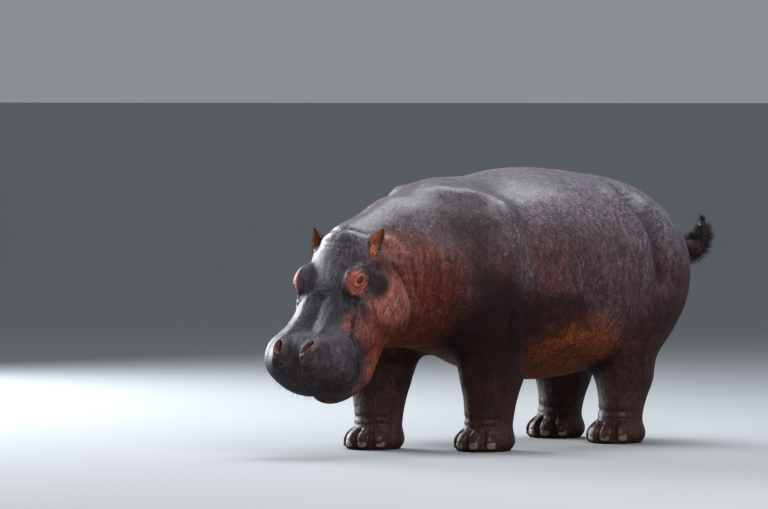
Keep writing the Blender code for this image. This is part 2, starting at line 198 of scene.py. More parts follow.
def seen_from(frame: Matrix, points: np.ndarray) -> np.ndarray:
    """Points of the body's frame, given in another frame."""
    return (points - floats(frame.translation)) @ floats(frame.to_3x3())


# -------------------- masses of flesh


@dataclass(frozen=True)
class Mass:
    """An ellipsoid of flesh or bone: its middle, half-sizes and turn in degrees.

    square is 2 for a true ellipsoid and more for a boxier one. blend is how softly it joins
    what is already there. A hollow is pressed in, not laid on.
    """

    centre: Point
    radii: Point
    pitch: float = 0.0
    yaw: float = 0.0
    roll: float = 0.0
    square: float = 2.0
    blend: float = 0.12
    hollow: bool = False

    def mirrored(self) -> "Mass":
        """The same mass on the other side of the frame's middle plane."""
        return replace(self, centre=sided(self.centre, -1), yaw=-self.yaw, roll=-self.roll)

    def reach(self, frame: Matrix) -> tuple[Vector, float]:
        """Middle and half-size of a box that holds the mass."""
        return frame @ Vector(self.centre), max(self.radii)

    def distance(self, points: np.ndarray, frame: Matrix) -> np.ndarray:
        """Rough distance from the surface, negative inside.

        Args:
            points: Where, in the body's frame.
            frame: The frame that the mass is given in.

        Returns:
            A distance for each point.
        """
        turn = frame.to_3x3() @ turned(self.pitch, self.yaw, self.roll)
        radii = floats(self.radii)
        scaled = np.abs((points - floats(frame @ Vector(self.centre))) @ floats(turn)) / radii + 1e-6
        share = (scaled**self.square).sum(-1) ** (1 / self.square)
        slope = (scaled / share[..., None]) ** (self.square - 1) / radii
        return (share - 1) / np.sqrt((slope**2).sum(-1))


@dataclass(frozen=True)
class Rod:
    """A tapered rod with round ends. flat widens or squeezes it along the frame's y axis."""

    start: Point
    end: Point
    start_radius: float
    end_radius: float
    flat: float = 1.0
    blend: float = 0.12
    hollow: bool = False

    def mirrored(self) -> "Rod":
        """The same rod on the other side of the frame's middle plane."""
        return replace(self, start=sided(self.start, -1), end=sided(self.end, -1))

    @property
    def thickest(self) -> float:
        """Half of the rod's greatest width."""
        return max(self.start_radius, self.end_radius) * max(1.0, self.flat)

    def reach(self, frame: Matrix) -> tuple[Vector, float]:
        """Middle and half-size of a box that holds the rod."""
        start, end = frame @ Vector(self.start), frame @ Vector(self.end)
        return (start + end) / 2, (end - start).length / 2 + self.thickest

    def distance(self, points: np.ndarray, frame: Matrix) -> np.ndarray:
        """Rough distance from the surface, negative inside.

        Args:
            points: Where, in the body's frame.
            frame: The frame that the rod is given in.

        Returns:
            A distance for each point.
        """
        start = floats(self.start)
        local = seen_from(frame, points) - start
        along = floats(self.end) - start
        share = np.clip(local @ along / float(along @ along), 0, 1)
        off = (local - share[..., None] * along) * floats((1.0, 1.0 / self.flat, 1.0))
        radius = self.start_radius + share * (self.end_radius - self.start_radius)
        return (np.sqrt((off**2).sum(-1)) - radius) * min(1.0, self.flat)


Shape = Union[Mass, Rod]
Placed = tuple[Shape, Matrix]
BODY = Matrix.Identity(4)


def both(shapes: Iterable[Shape]) -> list[Shape]:
    """Each shape and its mirror image."""
    return [side for shape in shapes for side in (shape, shape.mirrored())]


def soft_union(a: np.ndarray, b: np.ndarray, blend: float) -> np.ndarray:
    """The smaller of two fields, rounded off where they are closer than blend."""
    near = np.maximum(blend - np.abs(a - b), 0) / blend
    return np.minimum(a, b) - near**3 * blend / 6


@dataclass
class Flesh:
    """The field of all masses laid on one another in order."""

    placed: list[Placed]

    def at(self, points: np.ndarray) -> np.ndarray:
        """Rough distance of each point from the skin, negative inside.

        Args:
            points: Where, in the body's frame.

        Returns:
            A distance for each point.
        """
        value = np.full(len(points), FAR, np.float32)
        for shape, frame in self.placed:
            centre, half = shape.reach(frame)
            reach = half + shape.blend + 0.06
            near = np.flatnonzero((np.abs(points - floats(centre)) < reach).all(1))
            if len(near):
                distance = shape.distance(points[near], frame)
                value[near] = self.joined(value[near], distance, shape)
        return value

    @staticmethod
    def joined(value: np.ndarray, distance: np.ndarray, shape: Shape) -> np.ndarray:
        """The field after one more shape is laid on or pressed in."""
        sign = -1 if shape.hollow else 1
        return sign * soft_union(sign * value, distance, shape.blend)

    def slope(self, points: np.ndarray, reach: float = 0.002) -> np.ndarray:
        """Gradient of the field at each point."""
        steps = np.eye(3, dtype=np.float32) * reach
        return np.stack([self.at(points + s) - self.at(points - s) for s in steps], axis=1) / (2 * reach)

    def landed(self, points: np.ndarray, rounds: int = 3) -> np.ndarray:
        """The points moved on to the surface along the field's slope.

        Args:
            points: Points near the surface.
            rounds: Number of steps taken.

        Returns:
            The points on the surface.
        """
        points = points.astype(np.float32)
        for _ in range(rounds):
            slope = self.slope(points)
            size = np.maximum((slope**2).sum(1), 0.2)
            move = np.clip(self.at(points) / size, -0.02, 0.02)
            points = points - slope * move[:, None]
        return points

    def mesh(self, low: Point, high: Point, step: float) -> bmesh.types.BMesh:
        """Mesh of the surface inside a box.

        Args:
            low: Lowest corner of the box.
            high: Highest corner.
            step: Distance between two points of the grid.

        Returns:
            A new bmesh, of quads.
        """
        axes = [np.arange(a, b + step, step, np.float32) for a, b in zip(low, high)]
        value = np.full([len(axis) for axis in axes], FAR, np.float32)
        for shape, frame in self.placed:
            centre, half = shape.reach(frame)
            half += shape.blend + BAND * step
            part = tuple(
                slice(*np.searchsorted(axis, (c - half, c + half)).tolist())
                for axis, c in zip(axes, centre)
            )
            near = [axis[s] for axis, s in zip(axes, part)]
            points = np.stack(np.meshgrid(*near, indexing="ij"), axis=-1)
            value[part] = self.joined(value[part], shape.distance(points, frame), shape)
        grid = openvdb.FloatGrid(background=BAND * step)
        grid.copyFromArray(np.clip(value, -BAND * step, BAND * step))
        grid.transform = openvdb.createLinearTransform(voxelSize=step)
        points, triangles, quads = grid.convertToPolygons(isovalue=0.0, adaptivity=0.0)
        points = points + floats([axis[0] for axis in axes])
        mesh = bpy.data.meshes.new("surface")
        mesh.from_pydata(points.tolist(), [], quads.tolist() + triangles.tolist())
        shape = bmesh.new()
        shape.from_mesh(mesh)
        bpy.data.meshes.remove(mesh)
        return shape


# -------------------- anatomy


@dataclass(frozen=True)
class Barrel:
    """The trunk: barrel, belly, rump, chest and withers, with shoulders and haunches."""

    barrel: Mass = Mass((-0.12, 0, 0.930), (0.94, 0.62, 0.555))
    belly: Mass = Mass((-0.22, 0, 0.80), (0.72, 0.58, 0.42), blend=0.18)
    rump: Mass = Mass((-0.65, 0, 0.975), (0.53, 0.545, 0.45), blend=0.18)
    chest: Mass = Mass((0.54, 0, 0.97), (0.46, 0.44, 0.43), blend=0.18)
    withers: Mass = Mass((0.46, 0, 1.19), (0.36, 0.20, 0.20), pitch=8, blend=0.18)
    shoulder: Mass = Mass((0.50, 0.33, 0.94), (0.20, 0.16, 0.36), pitch=-18, blend=0.10)
    haunch: Mass = Mass((-0.65, 0.33, 0.88), (0.36, 0.265, 0.40), pitch=-10, blend=0.12)

    def placed(self) -> list[Placed]:
        """The trunk's masses, each with its frame."""
        middle = (self.barrel, self.belly, self.rump, self.chest, self.withers)
        return [(shape, BODY) for shape in (*middle, *both((self.shoulder, self.haunch)))]


@dataclass(frozen=True)
class Neck:
    """The crest from the withers to the crown, the neck under it and the throat."""

    rear_crest: Rod = Rod((0.58, 0, 1.20), (0.92, 0, 1.15), 0.18, 0.175, blend=0.14)
    front_crest: Rod = Rod((0.92, 0, 1.15), (1.25, 0, 1.065), 0.175, 0.145, blend=0.10)
    neck: Rod = Rod((0.62, 0, 0.96), (1.20, 0, 0.87), 0.40, 0.24, blend=0.16)
    throat: Rod = Rod((0.76, 0, 0.82), (1.16, 0, 0.74), 0.27, 0.19, blend=0.14)

    def placed(self) -> list[Placed]:
        """The neck's masses, each with its frame."""
        return [(shape, BODY) for shape in (self.rear_crest, self.front_crest, self.neck, self.throat)]


@dataclass(frozen=True)
class Leg:
    """One leg: a column from the body to the ankle, and a foot with four toes."""

    kind: Pair
    side: Side
    x: float
    spread: float
    toe_angles: tuple[float, ...] = (-51.0, -17.0, 17.0, 51.0)
    toe_reach: tuple[float, float] = (0.122, 0.112)  # ahead and to the side
    toe_height: float = 0.045
    ahead: float = 0.02  # how far the middle of the foot lies before the ankle
    pad: Point = (0.155, 0.145, 0.085)  # half-sizes of the foot's pad
    toe: Point = (0.054, 0.046, 0.055)  # half-sizes of one toe

    @property
    def name(self) -> str:
        """Which leg it is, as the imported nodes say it."""
        return f"{self.kind.value}_{self.side.value}"

    @property
    def y(self) -> float:
        """The foot's distance from the middle plane, positive to the left."""
        return self.side.sign * self.spread

    def toes(self) -> Iterable[Matrix]:
        """Frame of each toe, with +x pointing out along it.

        Returns:
            The frames, from the animal's right to its left.
        """
        for angle in self.toe_angles:
            turn = math.radians(angle)
            x = self.x + self.ahead + self.toe_reach[0] * math.cos(turn)
            y = self.y + self.toe_reach[1] * math.sin(turn)
            yield Matrix.Translation((x, y, self.toe_height)) @ Matrix.Rotation(turn, 4, "Z")

    def folds(self) -> list["Fold"]:
        """Creases between the toes and wrinkles round the front of the ankle.

        Returns:
            The creases.
        """
        found = []
        for angle in (-34.0, 0.0, 34.0):
            turn = math.radians(angle)
            line = tuple(
                (self.x + self.ahead + reach * math.cos(turn), self.y + reach * math.sin(turn), height)
                for reach, height in ((0.115, 0.125), (0.140, 0.085), (0.155, 0.045), (0.160, 0.0))
            )
            found.append(Fold(line, 0.012, -0.013, lip=0.3, dark=0.7, fade=0.2, paired=False))
        for reach, height in ((0.128, 0.135), (0.120, 0.172)):
            bow = -0.00004 if height < 0.15 else 0.00004
            line = tuple(
                (self.x + 0.01 + reach * math.cos(turn), self.y + reach * math.sin(turn), height + sag)
                for turn, sag in ((math.radians(a), bow * abs(a)) for a in (-95, -50, 0, 50, 95))
            )
            found.append(Fold(line, 0.012, -0.0045, lip=0.2, dark=0.5, paired=False))
        return found

    def share(self, points: np.ndarray) -> np.ndarray:
        """How much each point belongs to the leg, from 0 to 1."""
        off = np.hypot((points[:, 0] - self.x) / 0.27, (points[:, 1] - self.y) / 0.24)
        return (1 - smooth_step(0.80, 1.20, off)) * (1 - smooth_step(0.42, 0.66, points[:, 2]))

    def placed(self) -> list[Placed]:
        """The leg's masses.

        Returns:
            Each mass with its frame.
        """
        x, y = self.x, self.y
        if self.kind is Pair.FRONT:
            upper = Rod((0.54, y, 0.78), (x - 0.02, y, 0.42), 0.205, 0.160, blend=0.14)
            lower = Rod((x - 0.02, y, 0.42), (x, y, 0.12), 0.158, 0.122, blend=0.09)
        else:
            upper = Rod((-0.60, y * 0.95, 0.72), (x - 0.04, y, 0.38), 0.245, 0.150, blend=0.16)
            lower = Rod((x - 0.04, y, 0.38), (x, y, 0.12), 0.142, 0.116, blend=0.09)
        pad = Mass((x + self.ahead, y, 0.05), self.pad, blend=0.08)
        toe = Mass((0, 0, 0), self.toe, blend=0.03)
        column = [(shape, BODY) for shape in (upper, lower, pad)]
        return column + [(toe, frame) for frame in self.toes()]


@dataclass(frozen=True)
class Tail:
    """The short thick tail that hangs back from the rump and curls up at its end."""

    points: tuple[Point, ...] = (
        (-1.02, 0.0, 1.12), (-1.24, 0.02, 1.09), (-1.37, 0.06, 1.03), (-1.46, 0.12, 1.03),
        (-1.50, 0.15, 1.10), (-1.49, 0.15, 1.17),
    )
    radii: tuple[float, ...] = (0.105, 0.064, 0.045, 0.038, 0.032, 0.018)

    def placed(self) -> list[Placed]:
        """The tail's rods."""
        ends = list(zip(self.points, self.radii))
        return [(Rod(a, b, ra, rb, blend=0.06), BODY) for (a, ra), (b, rb) in zip(ends, ends[1:])]


@dataclass(frozen=True)
class Head:
    """The head, in its own frame: x down the face, y to the left, z off the face."""

    crown: Point = (1.320, 0.0, 1.132)
    pitch: float = 54.0
    eye: Point = (0.250, 0.203, -0.034)
    eye_radius: float = 0.024
    ear: Point = (0.062, 0.188, -0.052)
    nostril: Point = (0.684, 0.099, -0.010)
    cranium: Mass = Mass((0.075, 0, -0.135), (0.20, 0.200, 0.150), blend=0.10)
    forehead: Mass = Mass((0.20, 0, -0.110), (0.20, 0.185, 0.085), blend=0.08)
    snout: Rod = Rod((0.24, 0, -0.185), (0.58, 0, -0.185), 0.160, 0.140, blend=0.10)
    muzzle: Mass = Mass((0.668, 0, -0.175), (0.142, 0.255, 0.148), square=2.5, blend=0.10)
    lip: Mass = Mass((0.668, 0, -0.260), (0.128, 0.232, 0.085), square=2.5, blend=0.08)
    chin: Mass = Mass((0.60, 0, -0.385), (0.175, 0.175, 0.085), blend=0.05)
    gullet: Rod = Rod((0.10, 0, -0.25), (0.46, 0, -0.32), 0.19, 0.13, blend=0.10)
    cheekbone: Rod = Rod((0.10, 0.165, -0.130), (0.36, 0.120, -0.160), 0.08, 0.08, blend=0.08)
    cheek: Mass = Mass((0.235, 0.165, -0.250), (0.200, 0.125, 0.170), square=2.3, blend=0.06)
    jaw: Rod = Rod((0.34, 0.135, -0.335), (0.58, 0.120, -0.375), 0.085, 0.080, blend=0.06)
    maxilla: Rod = Rod((0.42, 0.060, -0.180), (0.64, 0.155, -0.155), 0.090, 0.118, blend=0.08)
    flews: Rod = Rod((0.33, 0.105, -0.180), (0.60, 0.150, -0.175), 0.092, 0.096, blend=0.08)
    mouth_corner: Mass = Mass((0.425, 0.160, -0.235), (0.135, 0.078, 0.105), blend=0.06)
    nostril_mound: Mass = Mass((0.708, 0.102, -0.050), (0.066, 0.048, 0.042), blend=0.06)
    orbit: Mass = Mass((0.236, 0.168, -0.052), (0.082, 0.054, 0.078), blend=0.07)
    groove: Rod = Rod((0.70, 0, 0.012), (0.86, 0, -0.12), 0.012, 0.026, blend=0.09, hollow=True)
    temple: Mass = Mass((0.150, 0.252, -0.075), (0.050, 0.036, 0.045), blend=0.06, hollow=True)

    @property
    def frame(self) -> Matrix:
        """The head's frame in the body's."""
        return Matrix.Translation(self.crown) @ turned(self.pitch, 0.0, 0.0).to_4x4()

    def bones(self) -> list[Shape]:
        """Skull, snout, muzzle, cheeks and jaw, in the order they are laid.

        Returns:
            The masses, in the head's frame.
        """
        middle = [self.cranium, self.forehead, self.snout, self.muzzle, self.lip, self.chin, self.gullet]
        paired = [self.cheekbone, self.cheek, self.jaw, self.maxilla, self.flews]
        paired += [self.mouth_corner, self.nostril_mound, self.orbit, self.temple]
        return [*middle, *both(paired), self.groove]

    def placed(self) -> list[Placed]:
        """The head's masses with its frame."""
        return [(shape, self.frame) for shape in self.bones()]


@dataclass(frozen=True)
class EyeLids:
    """The swollen rings round one eye: a thick upper lid, a thin lower one and the opening.

    Each ring is given by its share of the lid's height, its distance from the middle in half
    openings, and its width.
    """

    head: Head
    side: Side
    out: Point = (-0.12, 0.92, 0.38)  # where the left eye faces, in the head's frame
    slit_turn: float = 14.0  # degrees that the slit is turned, front end down
    half_length: float = 0.0225
    upper_height: float = 0.0130
    lower_height: float = 0.0110
    depth: float = 0.020
    upper_lid: float = 0.0100
    lower_lid: float = 0.0060
    mound: Point = (0.022, 0.018, 0.009)  # middle of the swelling before the eye, and its height
    mound_radius: float = 0.030
    rings: tuple[Point, ...] = ((1.0, 1.55, 0.42), (-0.55, 2.55, 0.36), (0.55, 3.25, 0.5), (-0.4, 4.2, 0.4))

    def facing(self) -> Matrix:
        """Frame on the eyeball: x along the slit to the front, y to the brow, z out.

        Returns:
            The frame, left-handed on the right side.
        """
        sign = self.side.sign
        out = Vector(sided(self.out, sign)).normalized()
        along = Matrix.Rotation(math.radians(-sign * self.slit_turn), 3, out) @ Vector((1.0, 0.0, 0.0))
        along = (along - out * along.dot(out)).normalized()
        brow = out.cross(along) * sign
        turn = Matrix((along, brow, out)).transposed().to_4x4()
        return self.head.frame @ Matrix.Translation(sided(self.head.eye, sign)) @ turn

    def raise_skin(self, skin: np.ndarray) -> tuple[np.ndarray, np.ndarray]:
        """How the lids move each point of the skin.

        Args:
            skin: Points of the skin, in the body's frame.

        Returns:
            The move of each point, and how far it lies inside the opening.
        """
        facing = self.facing()
        local = seen_from(facing, skin)
        upper = smooth_step(-0.004, 0.004, local[:, 1])
        half = self.lower_height + upper * (self.upper_height - self.lower_height)
        off = np.hypot(local[:, 0] / self.half_length, local[:, 1] / half)
        near = (local[:, 2] > 0.0) & (local[:, 2] < 0.06) & (off < 5.0)
        inside = (1 - smooth_step(0.84, 1.10, off)) * near
        lid = self.lower_lid + upper * (self.upper_lid - self.lower_lid)
        rings = sum(share * np.exp(-(((off - place) / width) ** 2)) for share, place, width in self.rings)
        x, y, rise = self.mound
        away = np.hypot(local[:, 0] - x, local[:, 1] - y) / self.mound_radius
        swelling = rise * np.exp(-(away**2))
        height = (lid * rings + swelling) * (1 - inside) * near - self.depth * inside
        return height[:, None] * floats(facing.to_3x3())[:, 2], inside


@dataclass(frozen=True)
class Fold:
    """A crease or ridge that runs over the skin along a smooth line.

    points are in the frame of where. height is negative for a crease. lip raises the skin on
    either side of a crease, or sinks it beside a ridge. Both ends fade out. dark is how much
    painted shade darkens its middle, or where negative how much a painted highlight lightens it.
    """

    points: tuple[Point, ...]
    width: float
    height: float
    where: Matrix = field(default_factory=lambda: Matrix.Identity(4))
    lip: float = 0.3
    dark: float = 0.0
    fade: float = 0.25
    paired: bool = True

    def lines(self) -> list[np.ndarray]:
        """The line through the points, and its mirror image where the fold is paired.

        Returns:
            The points of each line, one row each.
        """
        found = []
        for sign in (1.0, -1.0) if self.paired else (1.0,):
            points = [self.where @ Vector(sided(point, sign)) for point in self.points]
            found.append(smooth_line(points, self.width * 0.4))
        return found

    def raise_skin(self, skin: np.ndarray, flesh: Flesh) -> tuple[np.ndarray, np.ndarray]:
        """How far the fold moves each point of the skin.

        Args:
            skin: Points of the skin.
            flesh: The field that the line is laid on.

        Returns:
            Height along the normal for each point, and how deep in a crease it lies.
        """
        height = np.zeros(len(skin), np.float32)
        depth = np.zeros(len(skin), np.float32)
        for line in self.lines():
            line = flesh.landed(line)
            low, high = line.min(0) - 4 * self.width, line.max(0) + 4 * self.width
            near = np.flatnonzero(((skin > low) & (skin < high)).all(1))
            if not len(near):
                continue
            away = np.linalg.norm(skin[near, None] - line[None], axis=2)
            nearest = away.argmin(1)
            off = away[np.arange(len(near)), nearest] / self.width
            along = nearest / max(1, len(line) - 1)
            fade = smooth_step(0, self.fade, along) * smooth_step(0, self.fade, 1 - along)
            core = np.exp(-(off**2)) * fade
            side = np.exp(-((off - 1.9) ** 2)) * fade
            height[near] += self.height * (core - self.lip * side)
            depth[near] += core * self.dark
        return height, depth


def smooth_line(points: Sequence[Vector], spacing: float) -> np.ndarray:
    """A Catmull-Rom line through points.

    Args:
        points: What it passes through.
        spacing: Greatest distance between two of its points.

    Returns:
        Its points, one row each.
    """
    ends = [2 * points[0] - points[1], *points, 2 * points[-1] - points[-2]]
    found = []
    for a, b, c, d in zip(ends, ends[1:], ends[2:], ends[3:]):
        count = max(2, math.ceil((c - b).length / spacing))
        for step in range(count):
            t = step / count
            bend = (2 * a - 5 * b + 4 * c - d) * t * t + (3 * b - a - 3 * c + d) * t**3
            found.append(0.5 * (2 * b + (c - a) * t + bend))
    found.append(points[-1])
    return floats(found)


@dataclass(frozen=True)
class Ear:
    """A small pointed cup that stands up and out on its stalk, open to the front."""

    head: Head
    side: Side
    height: float = 0.145
    half_width: float = 0.043
    depth: float = 0.032
    stalk: tuple[float, float] = (0.0185, 0.0255)  # half its depth and width at the foot
    upright: Point = (-0.24, 0.37, 0.89)  # the way the left ear stands
    facing: Point = (0.95, 0.14, 0.0)  # the way its cup opens
    rings: int = 24

    def frame(self) -> Matrix:
        """Frame of the ear: x out of its opening, y across, z along it to the tip.

        Returns:
            The frame, in the body's.
        """
        sign = self.side.sign
        foot = self.head.frame @ Vector(sided(self.head.ear, sign))
        up = Vector(sided(self.upright, sign)).normalized()
        front = Vector(sided(self.facing, sign))
        front = (front - up * front.dot(up)).normalized()
        turn = Matrix((front, up.cross(front), up)).transposed().to_4x4()
        return Matrix.Translation(foot) @ turn

    def outline(self, share: float) -> float:
        """Half-width of the ear at a share of its height."""
        rise = math.sin(math.pi * min(1.0, 0.20 + 0.80 * share) ** 0.9) ** 0.8
        return self.half_width * max(rise, 0.0) * (1 - 0.15 * share)

    def ring(self, share: float, count: int = 20) -> list[tuple[Vector, float]]:
        """One cross-section: a crescent, open to the front, that closes into the stalk.

        Args:
            share: Share of the height.
            count: Number of points on each side of it.

        Returns:
            Points in the ear's frame, each with how far it lies inside the cup.
        """
        cup = float(smooth_step(0.10, 0.42, np.array(share)))
        curl = 0.014 * cup * math.sin(math.pi * min(1.0, share * 1.05))
        lobe = 1 + 0.28 * cup * math.exp(-(((share - 0.42) / 0.16) ** 2))
        outer = self.side.sign
        width = self.outline(share) * cup + (1 - cup) * self.stalk[1]
        depth = self.depth * (1 - 0.72 * share) * cup + (1 - cup) * self.stalk[0]
        wall = 0.0085 * (1 - share) + 0.0032
        lean = 0.016 * share**2 - 0.010 * share * cup
        turns = [math.pi * step / count for step in range(count)]
        points = []
        for turn in turns:
            across, bulge = math.cos(turn), math.sin(turn)
            points.append((self.bent(-depth * bulge + lean, width * across, outer, curl, lobe), 0.0))
        for turn in turns:
            across, bulge = -math.cos(turn), math.sin(turn)
            inner = (1 - cup) * depth * bulge - cup * max(depth - wall, 0.0) * bulge
            spread = width - 0.12 * wall * bulge
            place = self.bent(inner + lean, spread * across, outer, curl, lobe)
            points.append((place, cup * bulge**0.5))
        height = self.height * share
        return [(point + Vector((0, 0, height)), inside) for point, inside in points]

    def bent(self, x: float, y: float, outer: float, curl: float, lobe: float) -> Vector:
        """A point of a cross-section with the outer edge curled in and the inner one widened.

        Args:
            x: How far in front of the axis it lies.
            y: How far to the side.
            outer: Sign of the outer side.
            curl: How far the outer edge curls in.
            lobe: How much the inner edge is widened.

        Returns:
            Its new place.
        """
        share = y * outer / self.half_width
        if share > 0:
            return Vector((x + curl * share**2, y * (1 - 0.12 * share), 0))
        return Vector((x + 0.3 * curl * share**2, y * lobe, 0))

    def ground(self, flesh: Flesh, places: Sequence[Vector]) -> np.ndarray:
        """Height of the skin under each place, along the ear's axis.

        Args:
            flesh: The field that the skin lies on.
            places: Points in the ear's frame.

        Returns:
            A height for each.
        """
        heights = np.arange(-0.10, 0.09, 0.001, dtype=np.float32)
        frame = self.frame()
        found = []
        for place in places:
            line = [frame @ Vector((place.x, place.y, float(height))) for height in heights]
            within = np.flatnonzero(flesh.at(floats(line)) < 0)
            found.append(float(heights[within.max()]) if len(within) else 0.0)
        return np.array(found)

    def sew(self, skin: bmesh.types.BMesh, flesh: Flesh, mark: bmesh.types.BMLayerItem) -> None:
        """Cuts a hole in the skin and joins the ear to its edge.

        Args:
            skin: The skin, changed in place.
            flesh: The field that the skin lies on.
            mark: Vertex layer that takes 1 on the ear and up to 2 inside its cup.
        """
        frame = self.frame()
        back = frame.inverted()
        up = (frame.to_3x3() @ Vector((0, 0, 1))).normalized()
        hole = []
        for face in skin.faces:
            place = back @ face.calc_center_median()
            if abs(place.z) < 0.12 and face.normal.dot(up) > -0.3:
                if math.hypot(place.x / self.stalk[0], place.y / self.stalk[1]) < 1.25:
                    hole.append(face)
        bmesh.ops.delete(skin, geom=hole, context="FACES")
        rim = [e for e in skin.edges if e.is_boundary and (back @ e.verts[0].co).length < 0.12]
        loop = ordered_loop(rim)
        ground = self.ground(flesh, [point for point, _ in self.ring(0.0)])
        rings = []
        for share in [(step / self.rings) ** 0.95 for step in range(self.rings)]:
            ring = []
            level = float(smooth_step(0.0, 0.5, np.array(share)))
            for (point, inside), foot in zip(self.ring(share), ground):
                low = foot + 0.55 * self.height * share
                point.z = low + (self.height * share - low) * level
                vert = skin.verts.new(frame @ point)
                vert[mark] = min(1.0, share * 5) + inside
                ring.append(vert)
            rings.append(ring)
        top = skin.verts.new(frame @ Vector((0.008, 0, self.height)))
        top[mark] = 1.0
        for lower, upper in zip(rings, rings[1:]):
            for i, vert in enumerate(lower):
                skin.faces.new((lower[i - 1], vert, upper[i], upper[i - 1]))
        for i, vert in enumerate(rings[-1]):
            skin.faces.new((rings[-1][i - 1], vert, top))
        zip_loops(skin, loop, rings[0], back)
        joint = {vert for ring in rings[:3] for vert in ring} | set(loop)
        joint |= {edge.other_vert(vert) for vert in loop for edge in vert.link_edges}
        for _ in range(6):
            bmesh.ops.smooth_vert(
                skin, verts=list(joint), factor=0.5, use_axis_x=True, use_axis_y=True, use_axis_z=True
            )


def ordered_loop(edges: Sequence[bmesh.types.BMEdge]) -> list[bmesh.types.BMVert]:
    """The vertices of one closed chain of edges, in order.

    Args:
        edges: The edges of the chain.

    Returns:
        Its vertices.
    """
    links: dict[bmesh.types.BMVert, list[bmesh.types.BMVert]] = {}
    for edge in edges:
        a, b = edge.verts
        links.setdefault(a, []).append(b)
        links.setdefault(b, []).append(a)
    loop = [edges[0].verts[0]]
    before = None
    while True:
        ahead = [vert for vert in links[loop[-1]] if vert is not before]
        before = loop[-1]
        if ahead[0] is loop[0]:
            return loop
        loop.append(ahead[0])


def zip_loops(
    skin: bmesh.types.BMesh,
    lower: list[bmesh.types.BMVert],
    upper: list[bmesh.types.BMVert],
    back: Matrix,
) -> None:
    """Fills the band between two loops round one axis with triangles.

    Args:
        skin: What both loops belong to.
        lower: The first loop, in order.
        upper: The second, in order.
        back: Turns a place into the frame whose z axis both loops go round.
    """

    def from_behind(loop: list[bmesh.types.BMVert]) -> list[tuple[float, bmesh.types.BMVert]]:
        """The loop counter-clockwise from its lowest angle on, closed, with running angles.

        Args:
            loop: The loop.

        Returns:
            Each vertex with its angle.
        """
        places = [back @ vert.co for vert in loop]
        turns = zip(places, [*places[1:], places[0]])
        if sum(a.x * b.y - b.x * a.y for a, b in turns) < 0:
            loop, places = loop[::-1], places[::-1]
        angles = [math.atan2(place.y, place.x) for place in places]
        first = angles.index(min(angles))
        order = [*range(first, len(loop)), *range(first)]
        running = [angles[first]]
        for before, after in zip(order, order[1:]):
            running.append(running[-1] + math.remainder(angles[after] - angles[before], 2 * math.pi))
        found = [(angle, loop[index]) for angle, index in zip(running, order)]
        return [*found, (found[0][0] + 2 * math.pi, found[0][1])]

    low, high = from_behind(lower), from_behind(upper)
    i = j = 0
    while i < len(low) - 1 or j < len(high) - 1:
        step_low = j == len(high) - 1 or (i < len(low) - 1 and low[i + 1][0] <= high[j + 1][0])
        if step_low:
            skin.faces.new((low[i][1], low[i + 1][1], high[j][1]))
            i += 1
        else:
            skin.faces.new((low[i][1], high[j + 1][1], high[j][1]))
            j += 1


@dataclass(frozen=True)
class Nostril:
    """One nostril: an oval hole on its mound, with a raised rim."""

    head: Head
    side: Side
    half_length: float = 0.040
    half_width: float = 0.019
    depth: float = 0.036
    rim: float = 0.010
    slant: float = 158.0  # degrees from the way down the face to the outside
    inward: Point = (-0.35, 0.0, -1.0)

    def raise_skin(self, skin: np.ndarray) -> tuple[np.ndarray, np.ndarray]:
        """How the nostril moves each point of the skin.

        Args:
            skin: Points of the skin, in the body's frame.

        Returns:
            The move of each point, and how far it lies inside the hole.
        """
        sign = self.side.sign
        turn = math.radians(self.slant)
        along = floats((math.cos(turn), sign * math.sin(turn), 0.0))
        across = floats((-math.sin(turn), sign * math.cos(turn), 0.0))
        frame = self.head.frame
        local = seen_from(frame, skin) - floats(sided(self.head.nostril, sign))
        near = np.abs(local[:, 2]) < 0.06
        off = np.hypot(local @ along / self.half_length, local @ across / self.half_width)
        inside = (1 - smooth_step(0.62, 1.12, off)) * near
        rim = np.exp(-(((off - 1.45) / 0.42) ** 2)) * near
        down = floats(self.inward)
        down /= np.linalg.norm(down)
        move = down * (inside * self.depth)[:, None]
        move[:, 2] += rim * self.rim
        return move @ floats(frame.to_3x3()).T, inside


# -------------------- colours of the skin


class Tone(Enum):
    """Colours of the hide, linear. Three of them also stand for light: painted shade under the body, painted
    shade in the ear's cup, and a painted sheen on the brow.
    """

    BACK = (0.125, 0.104, 0.128)
    FLANK = (0.106, 0.042, 0.047)
    # Deep brown: the tail's own darker hide, and painted shade on the lower flank, under the thigh, over the
    # shoulder and at the withers.
    DEEP_BROWN_AND_SHADE = (0.016, 0.0055, 0.006)
    BELLY = (0.300, 0.076, 0.022)
    NECK = (0.135, 0.027, 0.014)
    CHEEK = (0.350, 0.122, 0.092)
    FACE = (0.056, 0.049, 0.063)
    # Paler grey of crown and forehead, partly a painted sheen.
    BROW_GREY_AND_SHEEN = (0.215, 0.192, 0.228)
    DARK = (0.005, 0.005, 0.008)
    RING = (0.560, 0.150, 0.105)
    EAR = (0.900, 0.310, 0.160)
    # Darker inside the ear's cup: painted shade.
    CUP_SHADE = (0.200, 0.058, 0.034)
    LIP = (0.320, 0.105, 0.085)
    INSIDE = (0.200, 0.026, 0.020)
    MUZZLE = (0.085, 0.058, 0.062)
    LEG = (0.060, 0.026, 0.022)
    SOLE = (0.050, 0.036, 0.032)


